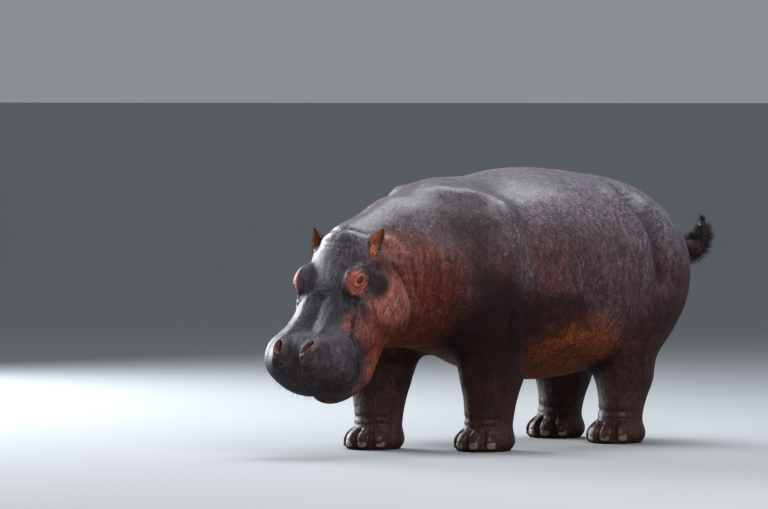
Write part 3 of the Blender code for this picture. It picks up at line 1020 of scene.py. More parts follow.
@dataclass(frozen=True)
class Zone:
    """A region of one tone with a soft, ragged edge, on both sides where it is paired."""

    tone: Tone
    centre: Point
    radii: Point
    where: Matrix = field(default_factory=lambda: Matrix.Identity(4))
    strength: float = 1.0
    soft: float = 0.45
    ragged: float = 0.18
    paired: bool = True

    def share(self, skin: np.ndarray, ragged: np.ndarray) -> np.ndarray:
        """How much of the tone each point takes.

        Args:
            skin: Points of the skin.
            ragged: Noise at each point.

        Returns:
            A share from 0 to 1 for each point.
        """
        local = seen_from(self.where, skin)
        total = np.zeros(len(skin), np.float32)
        for sign in (1.0, -1.0) if self.paired else (1.0,):
            off = np.linalg.norm((local - floats(sided(self.centre, sign))) / floats(self.radii), axis=1)
            off += ragged * self.ragged
            total = np.maximum(total, 1 - smooth_step(1 - self.soft, 1 + self.soft, off))
        return total * self.strength


@dataclass
class Paint:
    """Lays the tones over the skin by height, region and relief, with painted shade and highlights."""

    head: Head
    legs: tuple[Leg, ...]
    noise: Noise = field(default_factory=lambda: Noise(11))
    flank_height: tuple[float, float] = (0.45, 0.70)
    back_height: tuple[float, float] = (1.02, 1.42)
    edges: Layers = ((0.7, 5.0), (0.3, 17.0))

    def zones(self) -> list[Zone]:
        """The regions in the order they are laid.

        Returns:
            The regions, first one first.
        """
        face = self.head.frame
        return [
            Zone(Tone.BACK, (-0.22, 0.60, 1.00), (0.34, 0.25, 0.32), ragged=0.4, strength=0.35, soft=0.6),
            # Painted shade, with some darker hide, on the lower flank, under the thigh, over the shoulder and
            # at the withers:
            Zone(Tone.DEEP_BROWN_AND_SHADE, (0.28, 0.60, 0.70), (0.24, 0.30, 0.09), ragged=0.8, strength=0.80),
            Zone(Tone.DEEP_BROWN_AND_SHADE, (-0.66, 0.55, 0.62), (0.26, 0.30, 0.13), ragged=0.5, strength=0.55),
            Zone(Tone.DEEP_BROWN_AND_SHADE, (0.62, 0.42, 0.64), (0.25, 0.30, 0.36), ragged=0.4, strength=0.97),
            Zone(Tone.DEEP_BROWN_AND_SHADE, (0.66, 0.26, 1.23), (0.27, 0.34, 0.20), ragged=0.6, strength=0.70, soft=0.6),
            # The tail's own deep brown:
            Zone(Tone.DEEP_BROWN_AND_SHADE, (-1.44, 0.12, 1.09), (0.26, 0.20, 0.17), strength=0.75, paired=False),
            Zone(Tone.NECK, (0.99, 0.28, 0.84), (0.21, 0.26, 0.30), ragged=0.35, strength=0.90),
            Zone(Tone.FACE, (0.36, 0.0, -0.02), (0.62, 0.26, 0.17), face, soft=0.35, paired=False),
            Zone(Tone.FACE, (0.70, 0.0, -0.17), (0.27, 0.40, 0.25), face, soft=0.30, paired=False),
            Zone(Tone.CHEEK, (0.250, 0.285, -0.290), (0.165, 0.12, 0.185), face, 0.95, 0.30),
            Zone(Tone.NECK, (0.400, 0.260, -0.330), (0.120, 0.12, 0.110), face, 0.70, 0.50),
            Zone(Tone.CHEEK, (0.455, 0.245, -0.200), (0.055, 0.060, 0.080), face, 0.75, 0.50),
            Zone(Tone.NECK, (0.379, 0.262, -0.205), (0.055, 0.080, 0.110), face, 0.15, 0.70),
            # Paler grey on forehead and crown, partly a painted sheen:
            Zone(Tone.BROW_GREY_AND_SHEEN, (0.190, 0.0, 0.010), (0.130, 0.080, 0.080), face, 0.50, 0.50, paired=False),
            Zone(Tone.BROW_GREY_AND_SHEEN, (0.020, 0.0, 0.030), (0.110, 0.170, 0.090), face, 0.50, 0.60, paired=False),
            Zone(Tone.CHEEK, (-0.055, 0.200, -0.150), (0.075, 0.070, 0.095), face, 0.80, 0.45),
            Zone(Tone.NECK, (0.070, 0.222, -0.070), (0.042, 0.050, 0.050), face, 0.70, 0.55),
            Zone(Tone.RING, (0.264, 0.204, -0.022), (0.066, 0.052, 0.058), face, 0.92, 0.35, 0.15),
            # Dark patch behind the eye, over the temple's hollow: partly the hide's colour, partly painted
            # shade.
            Zone(Tone.DARK, (0.212, 0.262, -0.128), (0.070, 0.080, 0.054), face, 0.95, 0.60, 0.40),
            Zone(Tone.DARK, (0.300, 0.150, -0.085), (0.060, 0.050, 0.050), face, 0.45, 0.50),
            Zone(Tone.MUZZLE, (0.760, 0.0, -0.190), (0.110, 0.330, 0.150), face, 0.60, 0.60, 0.40, False),
            Zone(Tone.LIP, (0.684, 0.105, -0.016), (0.055, 0.040, 0.050), face, 0.28, 0.45),
            Zone(Tone.LIP, (0.450, 0.215, -0.085), (0.070, 0.035, 0.035), face, 0.80, 0.50),
        ]

    def colours(self, skin: "Surface") -> np.ndarray:
        """Colour of each point of the skin, linear, with alpha.

        Args:
            skin: The points of the skin.

        Returns:
            A colour for each point.
        """
        points, normals = skin.points, skin.normals
        ragged = self.noise.layered(points, self.edges)
        colour = np.zeros((len(points), 3), np.float32)

        def lay(tone: Tone, share: np.ndarray) -> None:
            """Mixes a tone over what is there."""
            colour[:] += share[:, None] * (floats(tone.value) - colour)

        # The tones follow height. Skin that faces up takes the back's grey a little lower, and over the rump
        # the grey reaches lower still as painted light.
        height = points[:, 2] + 0.07 * ragged + 0.10 * normals[:, 2]
        height += 0.14 * smooth_step(-0.2, -0.9, points[:, 0]) + 0.12 * self.noise.at(points, 2.3)
        lay(Tone.BELLY, np.ones(len(points), np.float32))
        lay(Tone.FLANK, smooth_step(*self.flank_height, height))
        lay(Tone.BACK, smooth_step(*self.back_height, height))
        for leg in self.legs:
            lay(Tone.LEG, leg.share(points + 0.06 * ragged[:, None]))
        lay(Tone.SOLE, 1 - smooth_step(0.0, 0.012, points[:, 2]))
        for zone in self.zones():
            lay(zone.tone, zone.share(points, ragged))
        lay(Tone.EAR, np.clip(skin.ear, 0, 1))
        # Painted shade deep in each ear's cup:
        lay(Tone.CUP_SHADE, np.clip(skin.ear - 1, 0, 1))
        lay(Tone.INSIDE, skin.inside)
        # Painted highlight along ridges, and painted shade in creases and hollows:
        lay(Tone.BACK, 0.60 * np.clip(-skin.crease, 0, 1))
        colour *= (1 - 0.55 * np.clip(skin.crease, 0, None))[:, None]
        # Painted shade on skin that faces down:
        colour *= (1 - 0.40 * smooth_step(0.3, 0.9, -normals[:, 2]))[:, None]
        return np.concatenate([colour, np.ones((len(points), 1), np.float32)], axis=1)

    def film(self, skin: "Surface", tint: np.ndarray) -> np.ndarray:
        """How wet each point looks, which sets its coat and the painted glints and sheen in its colour: less
        on the face, ears, tail and dark tones.

        Args:
            skin: The points of the skin.
            tint: Their colours.

        Returns:
            A share from 0 to 1 for each point.
        """
        ahead = (skin.points @ floats(self.head.frame.inverted())[:3, :3].T)[:, 0]
        ahead += self.head.frame.inverted().translation.x
        bare = 0.85 * smooth_step(0.0, 0.18, ahead) * (skin.points[:, 0] > 1.0)
        bare = np.maximum(bare, 0.9 * np.clip(skin.ear * 2, 0, 1))
        bare = np.maximum(bare, 0.8 * smooth_step(-1.20, -1.30, skin.points[:, 0]))
        dark = smooth_step(0.070, 0.015, tint[:, :3].mean(axis=1))
        return (1 - bare) * (1 - 0.90 * dark)


# -------------------- the skin


def middles_of(skin: bmesh.types.BMesh) -> np.ndarray:
    """The middles of all faces, one row each."""
    return floats([face.calc_center_median() for face in skin.faces])


def in_any(points: np.ndarray, balls: Iterable[tuple[np.ndarray, float]]) -> np.ndarray:
    """Which points lie in any of the balls, each given by its middle and radius."""
    return np.any([np.linalg.norm(points - middle, axis=1) < radius for middle, radius in balls], axis=0)


def move_to(verts: Iterable[bmesh.types.BMVert], points: np.ndarray) -> None:
    """Sets the places of vertices."""
    for vert, point in zip(verts, points.tolist()):
        vert.co = point


@dataclass
class Surface:
    """What is known of each point of the finished skin."""

    points: np.ndarray
    normals: np.ndarray
    ear: np.ndarray
    inside: np.ndarray
    crease: np.ndarray


@dataclass
class Hippopotamus:
    """The whole animal: its flesh, and the skin made from it."""

    head: Head = field(default_factory=Head)
    body_step: float = 0.018
    low: Point = (-1.62, -0.72, -0.08)  # lowest and highest corner of a box round it all
    high: Point = (1.98, 0.72, 1.58)
    neck_end: float = 1.05  # the mesh is finer from here to the front,
    tail_root: float = -1.20  # from here to the back,
    ankle: float = 0.19  # and from here down
    eye_radius: float = 0.048  # round each eye it is finest
    straying: Layers = ((0.008, 14.0), (0.003, 45.0))  # how far folds stray from their lines
    lumps: Layers = ((0.0030, 6.0), (0.0012, 19.0))  # how far the hide swells and sinks
    barrel: Barrel = field(default_factory=Barrel)
    neck: Neck = field(default_factory=Neck)
    tail: Tail = field(default_factory=Tail)
    legs: tuple[Leg, ...] = (
        Leg(Pair.FRONT, Side.LEFT, 0.50, 0.29),
        Leg(Pair.FRONT, Side.RIGHT, 0.72, 0.29),
        Leg(Pair.HIND, Side.LEFT, -0.58, 0.30),
        Leg(Pair.HIND, Side.RIGHT, -0.80, 0.30),
    )
    ears: list[Ear] = field(init=False)
    lids: list[EyeLids] = field(init=False)
    flesh: Flesh = field(init=False)

    def __post_init__(self) -> None:
        """Places ears and lids, and gathers the flesh in the order that it is laid."""
        self.ears = [Ear(self.head, side) for side in Side]
        self.lids = [EyeLids(self.head, side) for side in Side]
        parts = (self.barrel, self.neck, *self.legs, self.tail, self.head)
        self.flesh = Flesh([shape for part in parts for shape in part.placed()])

    def mouth(self) -> tuple[Point, ...]:
        """The line between the lips on the left, from its corner to the front.

        Returns:
            Its points, in the head's frame.
        """
        return (
            (0.380, 0.206, -0.112), (0.416, 0.206, -0.115), (0.453, 0.210, -0.116),
            (0.487, 0.220, -0.121), (0.528, 0.239, -0.126), (0.557, 0.252, -0.141),
            (0.583, 0.265, -0.163), (0.622, 0.275, -0.195), (0.659, 0.262, -0.250),
            (0.715, 0.210, -0.315), (0.775, 0.110, -0.338), (0.792, 0.0, -0.342),
        )

    def body_folds(self) -> list[Fold]:
        """Ridges of shoulder and haunch, and the creases of flank and neck.

        Returns:
            The folds of trunk and neck.
        """
        scapula = (
            (0.735, 0.03, 1.398), (0.706, 0.164, 1.367), (0.590, 0.235, 1.356),
            (0.500, 0.290, 1.330), (0.475, 0.353, 1.293), (0.477, 0.423, 1.231),
            (0.490, 0.464, 1.148), (0.470, 0.500, 1.030), (0.455, 0.513, 0.900),
            (0.460, 0.505, 0.760),
        )
        behind_it = tuple((x - 0.075, y + 0.02, z) for x, y, z in scapula[3:])
        haunch = (
            (-0.33, 0.280, 1.395), (-0.398, 0.353, 1.362), (-0.407, 0.471, 1.256),
            (-0.438, 0.542, 1.150), (-0.437, 0.584, 1.043), (-0.440, 0.600, 0.920),
            (-0.450, 0.590, 0.780),
        )
        hollow = tuple((x - 0.135, y, z) for x, y, z in haunch)
        rump = tuple((x - 0.27, y * 0.97, z * 0.99) for x, y, z in haunch[:6])
        elbow = ((0.548, 0.50, 0.76), (0.537, 0.49, 0.68), (0.526, 0.478, 0.600), (0.515, 0.45, 0.50))
        flank = tuple((x - 0.055, y, z) for x, y, z in elbow)
        groin = ((-0.30, 0.56, 0.72), (-0.34, 0.53, 0.62), (-0.36, 0.48, 0.53))
        # A negative dark paints a highlight along the ridges of shoulder, haunch and rump; a positive one
        # paints shade in hollows and creases.
        return [
            Fold(scapula, 0.060, 0.020, lip=0.0, dark=-1.0, fade=0.16),
            Fold(behind_it, 0.075, -0.014, lip=0.0, dark=0.1),
            Fold(haunch, 0.075, 0.024, lip=0.0, dark=-1.1, fade=0.2),
            Fold(hollow, 0.070, -0.036, lip=0.1, dark=1.0, fade=0.2),
            Fold(rump, 0.060, 0.010, dark=-0.6),
            Fold(elbow, 0.022, -0.016, lip=0.5, dark=0.6),
            Fold(flank, 0.030, 0.008),
            Fold(groin, 0.026, -0.014, lip=0.4, dark=0.5),
            *self.neck_folds(),
            *self.scars(),
        ]

    def scars(self) -> list[Fold]:
        """A few healed scratches on the left shoulder and flank, and one on the right.

        Returns:
            The scratches, as narrow creases.
        """
        lines = (
            ((0.760, 0.40, 1.02), (0.749, 0.413, 0.969), (0.745, 0.417, 0.906), (0.752, 0.408, 0.843)),
            ((0.640, 0.49, 0.85), (0.610, 0.50, 0.815), (0.571, 0.502, 0.789)),
            ((-0.02, 0.60, 1.06), (-0.05, 0.61, 1.02), (-0.06, 0.61, 0.97)),
            ((0.35, -0.52, 1.02), (0.30, -0.54, 0.97), (0.22, -0.56, 0.95)),
            ((-0.30, -0.60, 0.98), (-0.33, -0.61, 0.90), (-0.34, -0.60, 0.84)),
        )
        return [Fold(line, 0.007, -0.004, lip=0.8, dark=0.3, paired=False) for line in lines]

    def neck_folds(self) -> list[Fold]:
        """Upright creases down the side of the neck.

        Returns:
            The creases.
        """
        lines = (
            ((1.062, 0.237, 1.065), (1.066, 0.281, 0.910), (1.047, 0.250, 0.743)),
            ((0.997, 0.255, 1.080), (0.992, 0.302, 0.935), (1.000, 0.267, 0.752)),
            ((0.960, 0.275, 1.060), (0.960, 0.312, 0.900), (0.950, 0.260, 0.720)),
            ((0.925, 0.289, 1.090), (0.928, 0.322, 0.882), (0.905, 0.258, 0.698)),
            ((0.870, 0.321, 1.060), (0.860, 0.340, 0.900), (0.840, 0.290, 0.720)),
        )
        depths = (0.009, 0.010, 0.006, 0.009, 0.006)
        return [Fold(line, 0.012, -depth, lip=0.25, dark=0.6) for line, depth in zip(lines, depths)]

    def head_folds(self) -> list[Fold]:
        """Lips, the edge of the cheek, and the wrinkles of crown, brow and muzzle.

        Returns:
            The folds, in the head's frame.
        """
        face = self.head.frame
        cheek = (
            (0.070, 0.245, -0.120), (0.060, 0.255, -0.220), (0.130, 0.265, -0.358),
            (0.168, 0.232, -0.447), (0.235, 0.165, -0.541), (0.290, 0.095, -0.553),
        )
        crown = ((0.015, 0.165, -0.018), (0.020, 0.095, 0.029), (0.030, 0.0, 0.052))
        snout = ((0.290, 0.090, -0.030), (0.407, 0.112, -0.059), (0.540, 0.105, -0.045), (0.620, 0.10, -0.03))
        pouch = ((0.310, 0.205, -0.062), (0.345, 0.192, -0.078), (0.385, 0.202, -0.096))
        bag = ((0.322, 0.148, -0.045), (0.334, 0.183, -0.081), (0.322, 0.228, -0.106), (0.281, 0.252, -0.120))
        ear_pad = ((-0.085, 0.165, -0.100), (-0.068, 0.195, -0.165), (-0.025, 0.235, -0.235))
        found = [
            Fold(self.mouth(), 0.0075, -0.012, face, 0.45, 1.2, 0.12),
            Fold(cheek, 0.016, -0.015, face, 0.55, 0.6, 0.2),
            Fold(snout, 0.032, 0.006, face, 0.1),
            Fold(((0.28, 0, -0.03), (0.45, 0, -0.045), (0.60, 0, -0.04)), 0.055, -0.014, face, 0.0, 0.0),
            Fold(pouch, 0.011, -0.006, face, 0.4, 0.7),
            Fold(ear_pad, 0.030, 0.013, face, 0.45),
            Fold(bag, 0.009, -0.006, face, 0.5, 0.6),
            Fold(tuple((x + 0.028, y, z - 0.006) for x, y, z in bag[:3]), 0.008, -0.004, face, 0.5, 0.5),
        ]
        for offset, width, height, dark in (
            (-0.048, 0.014, -0.0035, 0.4), (0.0, 0.024, 0.0040, 0.0), (0.034, 0.010, -0.0025, 0.4),
            (0.062, 0.009, -0.003, 0.3),
        ):
            line = tuple((x + offset, y * (1 - 2.2 * max(offset, 0.0)), z) for x, y, z in crown)
            found.append(Fold(line, width, height, face, 0.35, dark, 0.12))
        for x, z, half in ((0.752, -0.052, 0.050), (0.772, -0.078, 0.062), (0.790, -0.112, 0.052)):
            line = tuple((x - 0.012 * abs(t), 0.105 + t * half, z) for t in (-1.0, -0.3, 0.4, 1.0))
            found.append(Fold(line, 0.006, -0.0035, face, 0.4, 0.5))
        return found

    def folds(self) -> list[Fold]:
        """Every crease and ridge of the hide."""
        return [*self.body_folds(), *self.head_folds(), *(f for leg in self.legs for f in leg.folds())]

    def places(self) -> list[tuple[np.ndarray, float]]:
        """Middles and radii of the regions that take the finest mesh.

        Returns:
            The middle and radius of each.
        """
        face = self.head.frame
        found = []
        for sign in (side.sign for side in Side):
            for place, radius in ((self.head.eye, 0.075), (self.head.nostril, 0.055)):
                found.append((floats(face @ Vector(sided(place, sign))), radius))
            line = smooth_line([face @ Vector(sided(point, sign)) for point in self.mouth()], 0.02)
            found += [(point, 0.027) for point in self.flesh.landed(line)]
        found += [(floats(ear.frame() @ Vector((0, 0, 0.005))), 0.055) for ear in self.ears]
        return found

    def refine(self, skin: bmesh.types.BMesh, chosen: np.ndarray) -> None:
        """Splits the chosen faces in four and lays the skin on the surface again.

        Args:
            skin: The skin, changed in place.
            chosen: Which faces are split, in their order.
        """
        skin.faces.ensure_lookup_table()
        edges = {edge for index in np.flatnonzero(chosen) for edge in skin.faces[index].edges}
        made = bmesh.ops.subdivide_edges(skin, edges=list(edges), cuts=1, use_grid_fill=True)
        new = {part for part in made["geom"] if isinstance(part, bmesh.types.BMVert)}
        self.land(list(new))

    def land(self, verts: Sequence[bmesh.types.BMVert]) -> None:
        """Moves vertices of the skin on to the surface of the flesh."""
        move_to(verts, self.flesh.landed(floats([vert.co for vert in verts]), 2))

    def skin_mesh(self) -> tuple[bpy.types.Mesh, Surface]:
        """The finished skin in the body's frame, and what is known of its points.

        Returns:
            The mesh, and what is known of each of its points.
        """
        skin = self.flesh.mesh(self.low, self.high, self.body_step)
        self.land(skin.verts)
        middles = middles_of(skin)
        face = floats(self.head.frame.inverted())
        ahead = middles @ face[0, :3] + face[0, 3]
        fine = (ahead > -0.03) & (middles[:, 0] > self.neck_end) | (middles[:, 2] < self.ankle)
        fine |= (middles[:, 0] < self.tail_root) & (middles[:, 2] > 0.9)
        self.refine(skin, fine)
        middles = [floats(lids.facing() @ Vector((0, 0, 0.02))) for lids in self.lids]
        eyes = [(middle, self.eye_radius) for middle in middles]
        for balls in (self.places(), eyes):
            self.refine(skin, in_any(middles_of(skin), balls))
        inside, crease = self.raise_relief(skin)
        marks = {name: skin.verts.layers.float.new(name) for name in ("ear", "inside", "crease")}
        for vert, a, b in zip(skin.verts, inside.tolist(), crease.tolist()):
            vert[marks["inside"]] = a
            vert[marks["crease"]] = b
        for ear in self.ears:
            ear.sew(skin, self.flesh, marks["ear"])
        skin.normal_update()
        surface = Surface(
            floats([vert.co for vert in skin.verts]),
            floats([vert.normal for vert in skin.verts]),
            *(floats([vert[mark] for vert in skin.verts]) for mark in marks.values()),
        )
        return mesh_of(skin, "skin"), surface

    def raise_relief(self, skin: bmesh.types.BMesh) -> tuple[np.ndarray, np.ndarray]:
        """Raises folds, lumps and nostrils on the skin, and flattens the soles.

        Args:
            skin: The skin, changed in place.

        Returns:
            How far each vertex lies inside a hole, and how deep in a crease.
        """
        skin.normal_update()
        points = floats([vert.co for vert in skin.verts])
        normals = floats([vert.normal for vert in skin.verts])
        height = np.zeros(len(points), np.float32)
        crease = np.zeros(len(points), np.float32)
        strays = [Noise(seed) for seed in (5, 6, 7)]
        astray = np.stack([noise.layered(points, self.straying) for noise in strays], axis=1)
        for fold in self.folds():
            more, depth = fold.raise_skin(points + astray, self.flesh)
            height += more
            crease = np.where(np.abs(depth) > np.abs(crease), depth, crease)
        height += Noise(3).layered(points, self.lumps)
        moved = points + normals * height[:, None]
        inside = np.zeros(len(points), np.float32)
        for feature in (*self.lids, *(Nostril(self.head, side) for side in Side)):
            move, depth = feature.raise_skin(points)
            moved += move
            inside = np.maximum(inside, depth)
        moved[:, 2] = np.maximum(moved[:, 2], 0.0)
        move_to(skin.verts, moved)
        return inside, crease


# -------------------- node graphs


class Value:
    """An output socket whose operators add Math nodes."""

    def __init__(self, graph: "Graph", socket: bpy.types.NodeSocket) -> None:
        """Wraps a socket of a graph."""
        self.graph = graph
        self.socket = socket

    def math(self, operation: str, *inputs: "Term") -> "Value":
        """The result of a Math node on these inputs."""
        return self.graph.node("ShaderNodeMath", {"operation": operation}, dict(enumerate(inputs)))

    def __add__(self, other: "Term") -> "Value":
        """A sum."""
        return self.math("ADD", self, other)

    def __sub__(self, other: "Term") -> "Value":
        """A difference."""
        return self.math("SUBTRACT", self, other)

    def __mul__(self, other: "Term") -> "Value":
        """A product."""
        return self.math("MULTIPLY", self, other)

    def __rsub__(self, other: "Term") -> "Value":
        """A number less this value."""
        return self.math("SUBTRACT", other, self)

    __radd__ = __add__
    __rmul__ = __mul__

    def eased(self, low: float, high: float) -> "Value":
        """Eased rise from 0 at low to 1 at high, or a fall where low is above high."""
        inputs = {0: self, 1: min(low, high), 2: max(low, high), 3: float(low > high), 4: float(low < high)}
        return self.graph.node("ShaderNodeMapRange", {"interpolation_type": "SMOOTHSTEP"}, inputs)


Term = Union[Value, float]


class Graph:
    """Makes the nodes of one material or geometry tree."""

    def __init__(self, tree: bpy.types.NodeTree) -> None:
        """Starts on an empty tree."""
        self.tree = tree
        tree.nodes.clear()

    def node(
        self,
        kind: str,
        settings: Union[dict, None] = None,
        inputs: Union[dict, None] = None,
        output: Union[int, str] = 0,
    ) -> Value:
        """Adds one node.

        Args:
            kind: The node's type.
            settings: Its properties, set first.
            inputs: Values or links of its sockets, by name or index.
            output: The socket that is returned.

        Returns:
            One of its outputs.
        """
        made = self.tree.nodes.new(kind)
        for name, value in (settings or {}).items():
            setattr(made, name, value)
        for key, value in (inputs or {}).items():
            if isinstance(value, Value):
                self.tree.links.new(value.socket, made.inputs[key])
            else:
                made.inputs[key].default_value = value
        return Value(self, made.outputs[output] if len(made.outputs) else None)

    def mix(self, a: Union[Value, Point], b: Point, share: Term) -> Value:
        """Blends colour b over colour a by a share."""
        a, b = (colour if isinstance(colour, Value) else (*colour, 1.0) for colour in (a, b))
        return self.node("ShaderNodeMix", {"data_type": "RGBA"}, {0: share, 6: a, 7: b}, 2)

    def place(self) -> Value:
        """Where a point lies on its piece, in metres."""
        return self.node("ShaderNodeTexCoord", {}, {}, "Object")

    def bump(self, height: Value, strength: float, distance: float, **more: Value) -> Value:
        """A normal tilted by a height."""
        inputs = {"Strength": strength, "Distance": distance, "Height": height, **more}
        return self.node("ShaderNodeBump", {}, inputs, "Normal")

    def shader(self, **values: Union[Term, Point]) -> Value:
        """A Principled shader, with its sockets named by words joined with underscores."""
        inputs = {name.replace("_", " "): value for name, value in values.items()}
        return self.node("ShaderNodeBsdfPrincipled", {}, inputs)

    def noise(self, place: Value, scale: float, detail: float = 2.0, **more: float) -> Value:
        """Noise around 0.5 at a number of features per metre."""
        inputs = {"Vector": place, "Scale": scale, "Detail": detail, **more}
        return self.node("ShaderNodeTexNoise", {}, inputs, "Fac")

    def stretched(self, place: Value, scale: Point) -> Value:
        """Coordinates scaled by a different number along each axis."""
        return self.node("ShaderNodeMapping", {}, {"Vector": place, "Scale": scale})

    def attribute(self, name: str, output: str = "Fac") -> Value:
        """What the mesh stores under a name."""
        return self.node("ShaderNodeAttribute", {"attribute_name": name}, {}, output)


# -------------------- finishes


@dataclass(frozen=True)
class Finish:
    """A material and the name that it goes by."""

    name: str

    def material(self) -> bpy.types.Material:
        """The finished material, made the first time that it is asked for.

        Returns:
            The material.
        """
        if self.name in bpy.data.materials:
            return bpy.data.materials[self.name]
        made = bpy.data.materials.new(self.name)
        made.use_nodes = True
        graph = Graph(made.node_tree)
        graph.node("ShaderNodeOutputMaterial", {}, {"Surface": self.surface(graph)})
        return made

    def surface(self, graph: Graph) -> Value:
        """The finish's shader."""
        raise NotImplementedError


@dataclass(frozen=True)
class WetHide(Finish):
    """Bare skin just out of the water: painted tones, creased, pored and wet."""

    grain: float = 95.0
    # Pale grey of the painted sheen and glints:
    sheen: Point = (0.230, 0.225, 0.270)
    # Colour of the painted shade in furrows:
    furrow_shade: Point = (0.012, 0.008, 0.009)

    def surface(self, graph: Graph) -> Value:
        """Skin tones broken up by patches, streaks and pores, with painted shade and glints, under a wet
        film.

        Args:
            graph: The graph that takes its nodes.

        Returns:
            The shader.
        """
        place = graph.place()
        tint = graph.attribute("tint", "Color")
        crease = graph.attribute("crease")
        film = graph.attribute("film")
        patches = graph.noise(place, 4.0, 9.0, Roughness=0.70)
        grain = graph.noise(place, self.grain, 3.0, Roughness=0.65)
        creases = graph.noise(graph.stretched(place, (30.0, 30.0, 12.0)), 1.0, 4.0, Distortion=0.6)
        wrinkles = graph.noise(graph.stretched(place, (76.0, 76.0, 36.0)), 1.0, 5.0, Distortion=1.0)
        pores = graph.node(
            "ShaderNodeTexVoronoi",
            {"feature": "DISTANCE_TO_EDGE"},
            {"Vector": place, "Scale": self.grain * 0.8},
            "Distance",
        )
        normal = graph.node("ShaderNodeNewGeometry", {}, {}, "Normal")
        up = graph.node("ShaderNodeSeparateXYZ", {}, {0: normal}, "Z")
        lines = creases.eased(0.44, 0.60) * 0.5 + wrinkles.eased(0.40, 0.58) * 0.5
        # Pale flecks, brighter where the film is: partly marks of the hide, partly painted glints.
        scratches = graph.noise(graph.stretched(place, (95.0, 95.0, 66.0)), 1.0, 5.0, Distortion=0.8)
        shade = (0.02 + patches * 1.95) * (1.0 + scratches.eased(0.54, 0.68) * film * 1.3)
        shade = shade * (0.45 + grain * 1.1)
        # Painted shade where the wrinkle relief is low:
        base = graph.mix(tint, self.furrow_shade, (1.0 - lines) * 0.68)
        base = graph.node("ShaderNodeVectorMath", {"operation": "SCALE"}, {0: base, "Scale": shade})
        # Painted glints and sheen: pale grey laid into the colour of up-facing wet skin.
        glints = graph.noise(place, self.grain * 0.7, 4.0, Roughness=0.8)
        painted_glints = (0.06 + glints.eased(0.54, 0.70) * 0.94) * up.eased(-0.35, 0.95) * film
        base = graph.mix(base, self.sheen, painted_glints * 0.55)
        rough = 0.55 - patches * 0.22 + crease * 0.1 + up.eased(0.1, -0.6) * 0.3
        relief = (lines * 0.8 + grain * 0.6 + pores.eased(0.0, 0.25) * 0.3) * (0.8 + film * 0.8)
        swell = (creases * 0.7 + graph.noise(place, 21.0, 4.0, Roughness=0.7) * 0.8) * (0.3 + film * 1.2)
        return graph.shader(
            Base_Color=base,
            Roughness=rough,
            Normal=graph.bump(relief, 0.8, 0.004, Normal=graph.bump(swell, 0.7, 0.016)),
            Specular_IOR_Level=0.07,
            Coat_Weight=up.eased(-0.30, 0.65) * (0.08 + film * 0.40),
            Coat_Roughness=0.33,
        )


@dataclass(frozen=True)
class EyeFinish(Finish):
    """A wet dark eye: amber-brown iris round a slit pupil, in a red-brown white."""

    white: Point = (0.050, 0.016, 0.012)
    iris: Point = (0.035, 0.014, 0.006)
    pupil: Point = (0.004, 0.003, 0.003)
    amber: Point = (0.16, 0.08, 0.03)

    def surface(self, graph: Graph) -> Value:
        """Rings of colour round the gaze, wet and smooth.

        Args:
            graph: The graph that takes its nodes.

        Returns:
            The shader.
        """
        off = graph.attribute("gaze")
        slit = graph.attribute("slit")
        rays = graph.noise(graph.place(), 900.0, 2.0).eased(0.5, 0.8)
        base = graph.mix(self.iris, self.white, off.eased(0.0105, 0.0125))
        base = graph.mix(base, self.amber, rays * off.eased(0.011, 0.006) * 0.5)
        base = graph.mix(base, self.pupil, slit.eased(1.1, 0.9))
        return graph.shader(Base_Color=base, Roughness=0.10, Specular_IOR_Level=0.35)


@dataclass(frozen=True)
class NailFinish(Finish):
    """Worn horn with fine lines down it and a paler edge."""

    horn: Point = (0.095, 0.070, 0.052)
    edge: Point = (0.220, 0.180, 0.130)
    stain: Point = (0.03, 0.02, 0.016)

    def surface(self, graph: Graph) -> Value:
        """Lines and stains over horn.

        Args:
            graph: The graph that takes its nodes.

        Returns:
            The shader.
        """
        place = graph.place()
        lines = graph.noise(graph.stretched(place, (420.0, 420.0, 40.0)), 1.0, 3.0)
        stains = graph.noise(place, 60.0, 3.0)
        low = graph.attribute("low")
        base = graph.mix(self.horn, self.edge, low * 0.6 + lines.eased(0.45, 0.7) * 0.25)
        base = graph.mix(base, self.stain, stains.eased(0.5, 0.75) * 0.5)
        bump = graph.bump(lines, 0.4, 0.001)
        return graph.shader(Base_Color=base, Roughness=0.38 + stains * 0.2, Normal=bump)


@dataclass(frozen=True)
class BristleFinish(Finish):
    """Stiff hair, darker at the root."""

    root: Point = (0.008, 0.006, 0.005)
    tip: Point = (0.030, 0.019, 0.014)

    def surface(self, graph: Graph) -> Value:
        """Dark hair that pales a little to its tip.

        Args:
            graph: The graph that takes its nodes.

        Returns:
            The shader.
        """
        along = graph.attribute("along")
        base = graph.mix(self.root, self.tip, along)
        return graph.shader(Base_Color=base, Roughness=0.50 - along * 0.08, Specular_IOR_Level=0.3)


@dataclass(frozen=True)
class FloorFinish(Finish):
    """Plain pale studio floor."""

    colour: Point = (0.31, 0.325, 0.34)

    def surface(self, graph: Graph) -> Value:
        """Matt paint."""
        return graph.shader(Base_Color=(*self.colour, 1.0), Roughness=0.85)


# -------------------- pieces


def mesh_of(shape: bmesh.types.BMesh, name: str) -> bpy.types.Mesh:
    """Turns a bmesh into a smooth mesh and frees it.

    Args:
        shape: What is turned.
        name: The mesh's name.

    Returns:
        The new mesh.
    """
    mesh = bpy.data.meshes.new(name)
    shape.to_mesh(mesh)
    shape.free()
    mesh.shade_smooth()
    return mesh


